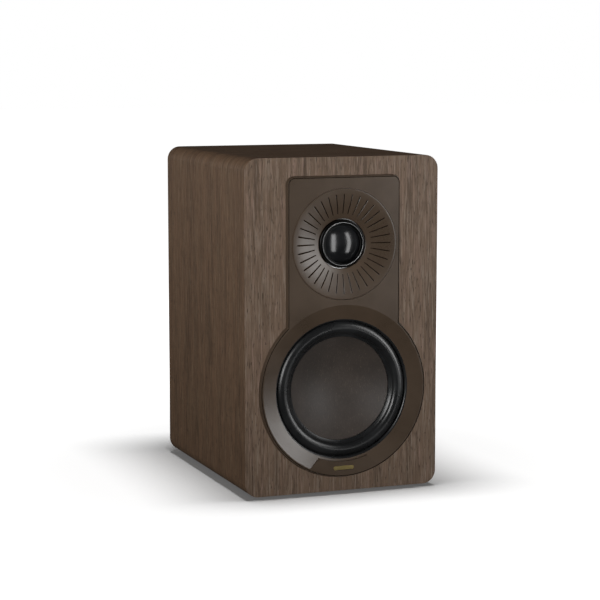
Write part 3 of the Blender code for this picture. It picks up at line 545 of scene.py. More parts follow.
def stretch(obj: Object, moving: Body, inner: float, outer: float, seat: Seat) -> None:
    """Makes a ring give way between its fixed outer edge and its moving inner one.

    Args:
        obj: the ring.
        moving: the body that its inner edge moves with.
        inner, outer: the radii between which it gives.
        seat: its axis.
    """
    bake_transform(obj, Body.CABINET.value, moving.value, start=(0, seat.y, 0), end=(0, seat.y + 0.01, 0))
    share = obj.data.attributes["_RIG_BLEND"].data
    for vertex, value in zip(obj.data.vertices, share):
        radius = math.hypot(vertex.co.x - seat.x, vertex.co.z - seat.z)
        t = min(1.0, max(0.0, (outer - radius) / (outer - inner)))
        value.value = t * t * (3 - 2 * t)


# ---- finishes ---------------------------------------------------------------------------
Colour = tuple[float, float, float]


def shaded(colour: Colour, share: float) -> Colour:
    """A colour made lighter or darker by a share."""
    return tuple(share * channel for channel in colour)


class Paint:
    """A material's node tree, with short calls for the nodes that the finishes share."""

    def __init__(self, name: str) -> None:
        """Starts a material with one Principled shader.

        Args:
            name: the material's name.
        """
        self.material = bpy.data.materials.new(name)
        self.material.use_nodes = True
        self.tree = self.material.node_tree
        self.shader = self.tree.nodes["Principled BSDF"]

    def add(self, kind: str, **settings: object) -> Node:
        """Adds a node.

        Args:
            kind: its type.
            settings: its properties.

        Returns:
            The node.
        """
        node = self.tree.nodes.new(kind)
        for key, value in settings.items():
            setattr(node, key, value)
        return node

    def feed(self, node: Node, key: str | int, value: NodeSocket | float | Sequence[float]) -> None:
        """Links a socket into an input, or sets the input to a value.

        Args:
            node: the node.
            key: the input.
            value: what it gets.
        """
        if isinstance(value, NodeSocket):
            self.tree.links.new(value, node.inputs[key])
        else:
            node.inputs[key].default_value = value

    def place(self, scale: Sequence[float] = (1, 1, 1)) -> NodeSocket:
        """Object coordinates, stretched by a scale.

        Args:
            scale: one factor for each axis.

        Returns:
            The coordinates.
        """
        source = self.add("ShaderNodeTexCoord").outputs["Object"]
        mapping = self.add("ShaderNodeMapping")
        self.feed(mapping, "Vector", source)
        self.feed(mapping, "Scale", tuple(scale))
        return mapping.outputs["Vector"]

    def noise(
        self, at: NodeSocket, scale: float, detail: float = 3.0, rough: float = 0.55,
        distort: float = 0.0,
    ) -> NodeSocket:
        """Fractal noise.

        Args:
            at: where it is read.
            scale: features in a metre, about.
            detail: how many octaves.
            rough: how strong the small ones are.
            distort: how far they are bent.

        Returns:
            The noise, 0 to 1.
        """
        node = self.add("ShaderNodeTexNoise")
        self.feed(node, "Vector", at)
        for key, value in (("Scale", scale), ("Detail", detail), ("Roughness", rough),
                           ("Distortion", distort)):
            self.feed(node, key, value)
        return node.outputs["Fac"]

    def cells(self, at: NodeSocket, scale: float) -> NodeSocket:
        """Distance to the edges of scattered cells.

        Args:
            at: where it is read.
            scale: cells in a metre.

        Returns:
            The distance.
        """
        node = self.add("ShaderNodeTexVoronoi", feature="DISTANCE_TO_EDGE")
        self.feed(node, "Vector", at)
        self.feed(node, "Scale", scale)
        return node.outputs["Distance"]

    def waves(self, at: NodeSocket, scale: float, axis: str, distort: float = 0.0) -> NodeSocket:
        """Even bands along an axis.

        Args:
            at: where they are read.
            scale: how close they are.
            axis: the axis that they cross.
            distort: how far they are bent.

        Returns:
            The bands, 0 to 1.
        """
        node = self.add("ShaderNodeTexWave", wave_type="BANDS", bands_direction=axis)
        self.feed(node, "Vector", at)
        self.feed(node, "Scale", scale)
        self.feed(node, "Distortion", distort)
        return node.outputs["Fac"]

    def span(self, value: NodeSocket, low: float, high: float, to_low: float = 0.0,
             to_high: float = 1.0) -> NodeSocket:
        """Maps one range of a value onto another, clamped.

        Args:
            value: what is mapped.
            low, high: its range.
            to_low, to_high: the new range.

        Returns:
            The mapped value.
        """
        node = self.add("ShaderNodeMapRange", interpolation_type="SMOOTHSTEP")
        self.feed(node, "Value", value)
        for key, number in (("From Min", low), ("From Max", high), ("To Min", to_low),
                            ("To Max", to_high)):
            self.feed(node, key, number)
        return node.outputs["Result"]

    def spread(self, value: NodeSocket, to_low: float = 0.0, to_high: float = 1.0) -> NodeSocket:
        """Maps the middle of a noise's range onto another range.

        Args:
            value: the noise.
            to_low, to_high: the new range.

        Returns:
            The mapped value.
        """
        return self.span(value, 0.3, 0.7, to_low, to_high)

    def sum(self, a: NodeSocket | float, b: NodeSocket | float, kind: str = "ADD") -> NodeSocket:
        """Arithmetic on two values.

        Args:
            a, b: the values.
            kind: the operation.

        Returns:
            The result.
        """
        node = self.add("ShaderNodeMath", operation=kind)
        self.feed(node, 0, a)
        self.feed(node, 1, b)
        return node.outputs[0]

    def blend(self, share: NodeSocket | float, a: NodeSocket | Colour, b: NodeSocket | Colour,
              kind: str = "MIX") -> NodeSocket:
        """Mixes two colours.

        Args:
            share: how much of the second.
            a, b: the colours.
            kind: how they mix.

        Returns:
            The colour.
        """
        node = self.add("ShaderNodeMix", data_type="RGBA", blend_type=kind)
        self.feed(node, 0, share)
        for key, value in ((6, a), (7, b)):
            self.feed(node, key, value if isinstance(value, NodeSocket) else (*value, 1.0))
        return node.outputs[2]

    def bump(self, height: NodeSocket, distance: float, strength: float = 1.0) -> None:
        """Gives the shader a relief.

        Args:
            height: the height, 0 to 1.
            distance: metres for a height of 1.
            strength: how much of it shows.
        """
        node = self.add("ShaderNodeBump")
        self.feed(node, "Height", height)
        self.feed(node, "Distance", distance)
        self.feed(node, "Strength", strength)
        self.feed(self.shader, "Normal", node.outputs["Normal"])

    def set(self, **values: NodeSocket | float | Colour) -> Paint:
        """Sets shader inputs.

        Args:
            values: inputs, named with underscores for spaces.

        Returns:
            This paint.
        """
        for key, value in values.items():
            if isinstance(value, tuple) and len(value) == 3:
                value = (*value, 1.0)
            self.feed(self.shader, key.replace("_", " "), value)
        return self


@dataclass(frozen=True)
class Veneer:
    """Dark walnut veneer, satin, whose grain runs along V of the piece's grain map."""

    name: str = "walnut veneer"
    dark: Colour = (0.062, 0.039, 0.024)
    middle: Colour = (0.138, 0.091, 0.060)
    # These pale tones are greyer than the sides' copy: partly painted sheen on the front.
    light: Colour = (0.228, 0.176, 0.134)
    pink: Colour = (0.228, 0.150, 0.114)
    contrast: float = 1.0
    seed: float = 0.0

    def make(self) -> Material:
        """Builds the material.

        Returns:
            The material.
        """
        paint = Paint(self.name)

        def along(across: float, length: float, offset: float = 0.0) -> NodeSocket:
            """Grain coordinates.

            Args:
                across, length: the size of one unit, in metres.
                offset: moves the figure.

            Returns:
                The coordinates.
            """
            node = paint.add("ShaderNodeMapping")
            paint.feed(node, "Vector", paint.add("ShaderNodeUVMap", uv_map="grain").outputs["UV"])
            paint.feed(node, "Scale", (1 / across, 1 / length, 1.0))
            paint.feed(node, "Location", (self.seed + offset, self.seed * 0.7 + offset * 1.3, 0.0))
            return node.outputs["Vector"]

        bands = paint.noise(along(0.012, 0.22), 1.0, 3.0, 0.5, 0.3)
        figure = paint.noise(along(0.0030, 0.070, 5.0), 1.0, 4.0, 0.6, 0.9)
        streaks = paint.noise(along(0.00110, 0.026, 11.0), 1.0, 4.0, 0.65, 0.35)
        hairs = paint.noise(along(0.00045, 0.010, 19.0), 1.0, 2.0, 0.6)
        pores = paint.noise(along(0.00065, 0.0070, 31.0), 1.0, 1.0, 0.5, 0.6)
        tint = paint.noise(along(0.005, 0.06, 43.0), 1.0, 2.0, 0.5)

        low, high = 0.5 - 0.2 / self.contrast, 0.5 + 0.2 / self.contrast
        ground = paint.blend(paint.span(bands, low, high), self.dark, self.middle)
        ground = paint.blend(paint.span(figure, 0.36, 0.62), ground, self.middle)
        pale = paint.blend(paint.span(tint, 0.42, 0.62), self.light, self.pink)
        share = paint.sum(paint.span(streaks, 0.45, 0.68), 0.80 * self.contrast, "MULTIPLY")
        colour = paint.blend(share, ground, pale)
        fine = paint.spread(hairs, 0.84, 1.12)
        colour = paint.blend(1.0, colour, fine, "MULTIPLY")
        dash = paint.span(pores, 0.62, 0.70)
        pit = shaded(self.dark, 0.6)
        colour = paint.blend(paint.sum(dash, 0.85, "MULTIPLY"), colour, pit)
        paint.set(Base_Color=colour, Roughness=paint.spread(streaks, 0.62, 0.47))
        height = paint.sum(streaks, paint.sum(dash, 1.6, "MULTIPLY"), "SUBTRACT")
        paint.bump(height, 0.00006, 0.55)
        paint.set(Specular_IOR_Level=0.30)
        return paint.material


@dataclass(frozen=True)
class Moulding:
    """Moulded plastic with a fine spark-eroded grain and faint flow clouds."""

    name: str
    colour: Colour
    roughness: float = 0.42
    grain: float = 0.00035
    depth: float = 0.000012
    specular: float = 0.5
    coat: float = 0.0

    def make(self) -> Material:
        """Builds the material.

        Returns:
            The material.
        """
        paint = Paint(self.name)
        at = paint.place()
        grit = paint.noise(at, 1 / self.grain, 2.0, 0.6)
        cloud = paint.noise(at, 26.0, 4.0, 0.6)
        dark = shaded(self.colour, 0.86)
        pale = shaded(self.colour, 1.12)
        colour = paint.blend(paint.spread(cloud), dark, pale)
        colour = paint.blend(paint.span(grit, 0.35, 0.75, 0.0, 0.35), colour, pale)
        spread = paint.sum(paint.spread(grit, -0.03, 0.03), paint.spread(cloud, -0.03, 0.03))
        paint.set(Base_Color=colour, Roughness=paint.sum(spread, self.roughness))
        paint.set(Specular_IOR_Level=self.specular, Coat_Weight=self.coat, Coat_Roughness=0.25)
        paint.bump(grit, self.depth)
        return paint.material


@dataclass(frozen=True)
class Rubber:
    """Black moulded rubber: a broad sheen, a soft bloom and a very fine grain."""

    name: str = "black rubber"
    colour: Colour = (0.010, 0.0105, 0.011)
    roughness: float = 0.27

    def make(self) -> Material:
        """Builds the material.

        Returns:
            The material.
        """
        paint = Paint(self.name)
        at = paint.place()
        bloom = paint.noise(at, 45.0, 3.0, 0.55)
        grain = paint.noise(at, 5200.0, 2.0)
        pale = shaded(self.colour, 1.9)
        paint.set(Base_Color=paint.blend(paint.span(bloom, 0.4, 0.75), self.colour, pale))
        paint.set(Roughness=paint.spread(bloom, self.roughness - 0.02, self.roughness + 0.03))
        paint.set(Specular_IOR_Level=0.42)
        paint.bump(grain, 0.000001)
        return paint.material


@dataclass(frozen=True)
class Pulp:
    """Felted fibre of a cone: dark paper pulp with paler wood fibres lying every way."""

    name: str = "fibre cone"
    ground: Colour = (0.042, 0.033, 0.0275)
    fibre: Colour = (0.115, 0.089, 0.068)

    def make(self) -> Material:
        """Builds the material.

        Returns:
            The material.
        """
        paint = Paint(self.name)
        fibres: NodeSocket | None = None
        for turn, scale in ((0.4, 2300.0), (1.5, 1900.0), (2.5, 2600.0)):
            mapping = paint.add("ShaderNodeMapping")
            paint.feed(mapping, "Vector", paint.add("ShaderNodeTexCoord").outputs["Object"])
            paint.feed(mapping, "Rotation", (0.0, turn, 0.0))
            paint.feed(mapping, "Scale", (1.0, 0.25, 0.16))
            strand = paint.span(
                paint.noise(mapping.outputs["Vector"], scale, 1.0, 0.5, 0.6), 0.66, 0.76
            )
            fibres = strand if fibres is None else paint.sum(fibres, strand, "MAXIMUM")
        felt = paint.noise(paint.place(), 900.0, 4.0, 0.7)
        cloud = paint.noise(paint.place(), 34.0, 3.0)
        ground = paint.blend(paint.spread(cloud), shaded(self.ground, 0.85),
                             shaded(self.ground, 1.2))
        colour = paint.blend(paint.sum(fibres, 0.5, "MULTIPLY"), ground, self.fibre)
        paint.set(Base_Color=colour, Roughness=paint.spread(felt, 0.50, 0.62))
        paint.set(Specular_IOR_Level=0.4, Sheen_Weight=0.06, Sheen_Roughness=0.5)
        paint.bump(paint.sum(felt, fibres), 0.00003)
        return paint.material


@dataclass(frozen=True)
class CoatedSilk:
    """Black silk doped with damping varnish: a close weave under a gloss."""

    name: str = "coated silk"
    colour: Colour = (0.009, 0.0095, 0.0105)
    roughness: float = 0.2

    def make(self) -> Material:
        """Builds the material.

        Returns:
            The material.
        """
        paint = Paint(self.name)
        at = paint.place()
        warp = paint.waves(at, 900.0, "X")
        weft = paint.waves(at, 900.0, "Z")
        weave = paint.sum(warp, weft, "MULTIPLY")
        cloud = paint.noise(at, 120.0, 4.0)
        paint.set(Base_Color=paint.blend(paint.spread(cloud), self.colour,
                                         shaded(self.colour, 1.7)))
        paint.set(Roughness=paint.spread(cloud, self.roughness - 0.02, self.roughness + 0.03))
        paint.set(Coat_Weight=0.35, Coat_Roughness=0.12, Specular_IOR_Level=0.5)
        paint.bump(weave, 0.0000008)
        return paint.material


@dataclass(frozen=True)
class Metal:
    """Plated, brushed or painted metal."""

    name: str
    colour: Colour
    roughness: float = 0.3
    metallic: float = 1.0
    brush: Colour = (40.0, 40.0, 2400.0)

    def make(self) -> Material:
        """Builds the material.

        Returns:
            The material.
        """
        paint = Paint(self.name)
        lines = paint.noise(paint.place(self.brush), 1.0, 3.0, 0.6)
        cloud = paint.noise(paint.place(), 90.0, 4.0)
        colour = paint.blend(paint.spread(cloud), shaded(self.colour, 0.82),
                             self.colour)
        paint.set(Base_Color=colour, Metallic=self.metallic)
        paint.set(Roughness=paint.spread(lines, self.roughness - 0.06, self.roughness + 0.1))
        paint.bump(lines, 0.000003)
        return paint.material


@dataclass(frozen=True)
class Grit:
    """A dull mineral or pressed-fibre body: fibreboard, ferrite, cement."""

    name: str
    colour: Colour
    speck: Colour
    size: float = 0.0006
    roughness: float = 0.8
    depth: float = 0.00003

    def make(self) -> Material:
        """Builds the material.

        Returns:
            The material.
        """
        paint = Paint(self.name)
        at = paint.place()
        grain = paint.noise(at, 1 / self.size, 5.0, 0.7)
        cloud = paint.noise(at, 30.0, 3.0)
        base = paint.blend(paint.spread(cloud), shaded(self.colour, 0.85), self.colour)
        paint.set(Base_Color=paint.blend(paint.span(grain, 0.5, 0.8), base, self.speck))
        paint.set(Roughness=paint.spread(grain, self.roughness - 0.08, self.roughness + 0.08))
        paint.bump(grain, self.depth)
        return paint.material


@dataclass(frozen=True)
class Winding:
    """Enamelled wire wound in even turns, which show as bands along an axis."""

    name: str
    axis: str
    pitch: float = 0.0004
    colour: Colour = (0.50, 0.18, 0.07)

    def make(self) -> Material:
        """Builds the material.

        Returns:
            The material.
        """
        paint = Paint(self.name)
        # A wave node makes scale * 20 / tau bands per unit.
        turns = paint.waves(paint.place(), math.tau / 20 / self.pitch, self.axis, distort=0.15)
        # The low bands between turns fall to a fifth of the copper's colour: painted shade in the crevices
        # between turns.
        groove = paint.span(turns, 0.0, 0.35)
        cloud = paint.noise(paint.place(), 200.0, 2.0)
        bright = paint.blend(paint.spread(cloud), self.colour, shaded(self.colour, 1.3))
        paint.set(Base_Color=paint.blend(groove, shaded(self.colour, 0.2), bright))
        paint.set(Metallic=0.85, Roughness=paint.spread(cloud, 0.26, 0.38))
        paint.bump(turns, 0.00008)
        return paint.material


@dataclass(frozen=True)
class Cloth:
    """Open woven cotton, stiffened with resin."""

    name: str = "spider cloth"
    colour: Colour = (0.42, 0.31, 0.12)
    thread: float = 0.0005

    def make(self) -> Material:
        """Builds the material.

        Returns:
            The material.
        """
        paint = Paint(self.name)
        scale = math.tau / 20 / self.thread
        warp, weft = paint.waves(paint.place(), scale, "X"), paint.waves(paint.place(), scale, "Z")
        weave = paint.sum(warp, weft, "MAXIMUM")
        dark = shaded(self.colour, 0.45)
        paint.set(Base_Color=paint.blend(paint.span(weave, 0.35, 0.9), dark, self.colour))
        paint.set(Roughness=paint.span(weave, 0.2, 0.9, 0.8, 0.62), Sheen_Weight=0.1)
        paint.bump(weave, 0.00012)
        return paint.material


@dataclass(frozen=True)
class Fleece:
    """Loose white polyester fibre."""

    name: str = "polyester wadding"
    colour: Colour = (0.72, 0.72, 0.69)

    def make(self) -> Material:
        """Builds the material.

        Returns:
            The material.
        """
        paint = Paint(self.name)
        tuft = paint.noise(paint.place(), 160.0, 6.0, 0.7, 1.5)
        hair = paint.noise(paint.place((1, 6, 1)), 900.0, 3.0, 0.7, 2.0)
        fluff = paint.sum(tuft, hair)
        paint.set(
            Base_Color=paint.blend(
                paint.span(fluff, 0.7, 1.3), shaded(self.colour, 0.72), self.colour
            )
        )
        paint.set(Roughness=paint.span(fluff, 0.7, 1.3, 0.98, 0.85), Sheen_Weight=0.5)
        paint.bump(fluff, 0.0012)
        return paint.material


@dataclass(frozen=True)
class Laminate:
    """Green circuit laminate with tracks under the lacquer."""

    name: str = "circuit laminate"
    colour: Colour = (0.012, 0.085, 0.03)

    def make(self) -> Material:
        """Builds the material.

        Returns:
            The material.
        """
        paint = Paint(self.name)
        tracks = paint.span(paint.cells(paint.place((1, 1, 0)), 130.0), 0.12, 0.16)
        weave = paint.sum(
            paint.waves(paint.place(), 300.0, "X"), paint.waves(paint.place(), 300.0, "Y")
        )
        pale = shaded(self.colour, 1.9)
        paint.set(Base_Color=paint.blend(tracks, pale, self.colour))
        paint.set(Roughness=paint.span(weave, 0.2, 1.6, 0.30, 0.38), Coat_Weight=0.4)
        paint.bump(tracks, 0.00004)
        return paint.material


@dataclass(frozen=True)
class Wrap:
    """A wound film or an extruded sleeve: faint rings round the axis, and a gloss."""

    name: str
    colour: Colour
    axis: str = "X"
    roughness: float = 0.3

    def make(self) -> Material:
        """Builds the material.

        Returns:
            The material.
        """
        paint = Paint(self.name)
        rings = paint.waves(paint.place(), 160.0, self.axis, distort=1.2)
        cloud = paint.noise(paint.place(), 80.0, 4.0)
        paint.set(
            Base_Color=paint.blend(paint.spread(cloud), shaded(self.colour, 0.8), self.colour)
        )
        paint.set(Roughness=paint.span(rings, 0.2, 0.8, self.roughness, self.roughness + 0.08))
        paint.bump(rings, 0.00002)
        return paint.material


class Finishes:
    """Every finish of the loudspeaker, made once and shared by the classes below."""

    def __init__(self) -> None:
        """Makes the materials."""
        self.veneer = Veneer().make()
        # The sides and top take a darker, more saturated copy of the front's veneer: partly a difference
        # between the sheets, partly painted shade on the sides and top.
        self.wrap = Veneer(
            "walnut veneer, sides", (0.055, 0.031, 0.0165), (0.120, 0.070, 0.039),
            (0.190, 0.127, 0.078), (0.190, 0.108, 0.065), 0.9, 3.7,
        ).make()
        self.trim = Moulding(
            "brown moulding", (0.064, 0.0435, 0.0285), 0.32, 0.0004, 0.000005
        ).make()
        # The dark matte finish below is painted shade for the waveguide's slots and the trim's groove line.
        self.shade = Moulding("slot shade", (0.014, 0.010, 0.007), 0.9, 0.0005, 0.00001, 0.0).make()
        self.plaque = Metal("gold plaque", (0.42, 0.33, 0.14), 0.42).make()
        self.black = Moulding(
            "black plastic", (0.014, 0.014, 0.0145), 0.48, 0.00045, 0.00003
        ).make()
        self.red = Moulding("red plastic", (0.36, 0.012, 0.010), 0.34, 0.0005, 0.00001).make()
        self.rubber = Rubber().make()
        self.cone = Pulp().make()
        self.silk = CoatedSilk().make()
        self.steel = Metal("coated steel", (0.030, 0.030, 0.032), 0.45, 0.6, (900, 900, 900)).make()
        self.zinc = Metal("black zinc", (0.10, 0.10, 0.105), 0.32, 1.0, (900, 900, 900)).make()
        self.gold = Metal("gold plating", (0.85, 0.62, 0.26), 0.2, 1.0, (60, 2600, 60)).make()
        self.board = Grit("fibreboard", (0.42, 0.29, 0.17), (0.58, 0.44, 0.29), 0.0009, 0.85).make()
        self.ferrite = Grit(
            "ferrite", (0.030, 0.030, 0.033), (0.07, 0.07, 0.075), 0.0004, 0.66
        ).make()
        self.ceramic = Grit("ceramic", (0.66, 0.64, 0.58), (0.50, 0.48, 0.44), 0.0007, 0.7).make()
        self.coil = Winding("voice coil copper", "Y", 0.0003).make()
        self.inductor = Winding("inductor copper", "Z", 0.0009).make()
        self.former = Wrap("polyimide film", (0.32, 0.13, 0.02), "Y", 0.25).make()
        self.film = Wrap("capacitor film", (0.42, 0.32, 0.03), "X").make()
        self.sleeve = Wrap("wire sleeve", (0.22, 0.012, 0.012), "Y", 0.38).make()
        self.spider = Cloth().make()
        self.laminate = Laminate().make()
        self.wadding = Fleece().make()


# ---- node trees that repeat a shape -----------------------------------------------------
class Growth:
    """A geometry node tree with named inputs, and the call that applies it."""

    def __init__(self, name: str) -> None:
        """Starts a tree with a geometry in and a geometry out.

        Args:
            name: the tree's name.
        """
        self.tree: NodeTree = bpy.data.node_groups.new(name, "GeometryNodeTree")
        face = self.tree.interface
        face.new_socket("Geometry", in_out="INPUT", socket_type="NodeSocketGeometry")
        face.new_socket("Geometry", in_out="OUTPUT", socket_type="NodeSocketGeometry")
        self.source = self.tree.nodes.new("NodeGroupInput")
        self.sink = self.tree.nodes.new("NodeGroupOutput")

    def ask(self, **sockets: str) -> None:
        """Declares named inputs and their kinds."""
        for name, kind in sockets.items():
            self.tree.interface.new_socket(name, in_out="INPUT", socket_type=f"NodeSocket{kind}")

    def add(
        self, kind: str, links: dict[str | int, object] | None = None, **settings: object
    ) -> NodeSocket:
        """Adds a node.

        Args:
            kind: its type.
            links: what its inputs get, sockets or values.
            settings: its properties.

        Returns:
            Its first output.
        """
        node = self.tree.nodes.new(kind)
        for key, value in settings.items():
            setattr(node, key, value)
        for key, value in (links or {}).items():
            for one in value if isinstance(value, list) else [value]:
                if isinstance(one, NodeSocket):
                    self.tree.links.new(one, node.inputs[key])
                else:
                    node.inputs[key].default_value = one
        return node.outputs[0]

    def end(self, geometry: NodeSocket) -> None:
        """Realises, dresses and returns the geometry.

        Args:
            geometry: what the tree made.
        """
        real = self.add("GeometryNodeRealizeInstances", {"Geometry": geometry})
        dressed = self.add("GeometryNodeSetMaterial", {
            "Geometry": real, "Material": self.source.outputs["Finish"]})
        self.tree.links.new(dressed, self.sink.inputs[0])

    def grow(self, mesh: Mesh, **values: object) -> Mesh:
        """Applies the tree to a mesh.

        Args:
            mesh: what goes in.
            values: the tree's inputs, by name.

        Returns:
            A plain mesh.
        """
        obj = stand(mesh)
        modifier = obj.modifiers.new(self.tree.name, "NODES")
        modifier.node_group = self.tree
        for item in self.tree.interface.items_tree:
            if item.in_out == "INPUT" and item.name in values:
                modifier[item.identifier] = values[item.name]
        baked(obj)
        made = obj.data
        bpy.data.objects.remove(obj)
        return made


def ring_of_points(growth: Growth) -> tuple[NodeSocket, NodeSocket]:
    """Points on a circle in the XZ plane, and the turn of each about Y.

    Args:
        growth: a tree that asks for Count, Radius and Centre.

    Returns:
        The points and their rotations.
    """
    ask = growth.source.outputs
    index = growth.add("GeometryNodeInputIndex")
    share = growth.add("ShaderNodeMath", {0: index, 1: ask["Count"]}, operation="DIVIDE")
    angle = growth.add("ShaderNodeMath", {0: share, 1: math.tau}, operation="MULTIPLY")
    across = growth.add("ShaderNodeMath", {0: angle}, operation="COSINE")
    up = growth.add("ShaderNodeMath", {0: angle}, operation="SINE")
    unit = growth.add("ShaderNodeCombineXYZ", {0: across, 2: up})
    spoke = growth.add(
        "ShaderNodeVectorMath", {0: unit, 3: ask["Radius"]}, operation="SCALE"
    )
    at = growth.add(
        "ShaderNodeVectorMath", {0: spoke, 1: ask["Centre"]}, operation="ADD"
    )
    points = growth.add("GeometryNodePoints", {"Count": ask["Count"], "Position": at})
    back = growth.add("ShaderNodeMath", {0: angle, 1: -1.0}, operation="MULTIPLY")
    turn = growth.add("ShaderNodeCombineXYZ", {1: back})
    return points, turn


def slotted() -> Growth:
    """A tree that cuts a ring of radial slots into what goes in.

    Returns:
        The tree.
    """
    growth = Growth("radial slots")
    growth.ask(Count="Int", Radius="Float", Centre="Vector", Size="Vector", Finish="Material")
    ask = growth.source.outputs
    points, turn = ring_of_points(growth)
    blade = growth.add("GeometryNodeMeshCube", {"Size": ask["Size"]})
    blades = growth.add("GeometryNodeInstanceOnPoints", {
        "Points": points, "Instance": blade, "Rotation": turn})
    real = growth.add("GeometryNodeRealizeInstances", {"Geometry": blades})
    cut = growth.add(
        "GeometryNodeMeshBoolean", {0: ask[0], 1: real}, operation="DIFFERENCE"
    )
    growth.end(cut)
    return growth


def ribbed() -> Growth:
    """A tree that adds a ring of grip ribs round what goes in.

    Returns:
        The tree.
    """
    growth = Growth("grip ribs")
    growth.ask(Count="Int", Radius="Float", Centre="Vector", Size="Vector", Finish="Material")
    ask = growth.source.outputs
    points, turn = ring_of_points(growth)
    ball = growth.add("GeometryNodeMeshUVSphere", {"Segments": 8, "Rings": 6, "Radius": 0.5})
    ribs = growth.add("GeometryNodeInstanceOnPoints", {
        "Points": points, "Instance": ball, "Rotation": turn, "Scale": ask["Size"]})
    both = growth.add("GeometryNodeJoinGeometry", {0: [ribs, ask[0]]})
    growth.end(both)
    return growth


def screwed() -> Growth:
    """A tree that puts a cross-recessed screw at each corner of a rectangle.

    Returns:
        The tree.
    """
    growth = Growth("corner screws")
    growth.ask(Centre="Vector", Width="Float", Height="Float", Recess="Vector", Finish="Material")
    ask = growth.source.outputs
    grid = growth.add("GeometryNodeMeshGrid", {
        "Size X": ask["Width"], "Size Y": ask["Height"], "Vertices X": 2, "Vertices Y": 2})
    upright = growth.add("GeometryNodeTransform", {
        "Geometry": grid, "Translation": ask["Centre"], "Rotation": (math.pi / 2, 0, 0)})
    bar = growth.add("GeometryNodeMeshCube", {"Size": ask["Recess"]})
    cross = growth.add(
        "GeometryNodeTransform", {"Geometry": bar, "Rotation": (0, math.pi / 2, 0)}
    )
    head = growth.add("GeometryNodeMeshBoolean", {0: ask[0], 1: [bar, cross]},
                      operation="DIFFERENCE")
    spin = growth.add(
        "FunctionNodeRandomValue", {"Min": (0, 0, 0), "Max": (0, math.tau, 0), "Seed": 7},
        data_type="FLOAT_VECTOR",
    )
    screws = growth.add("GeometryNodeInstanceOnPoints", {
        "Points": upright, "Instance": head, "Rotation": spin})
    growth.end(screws)
    return growth


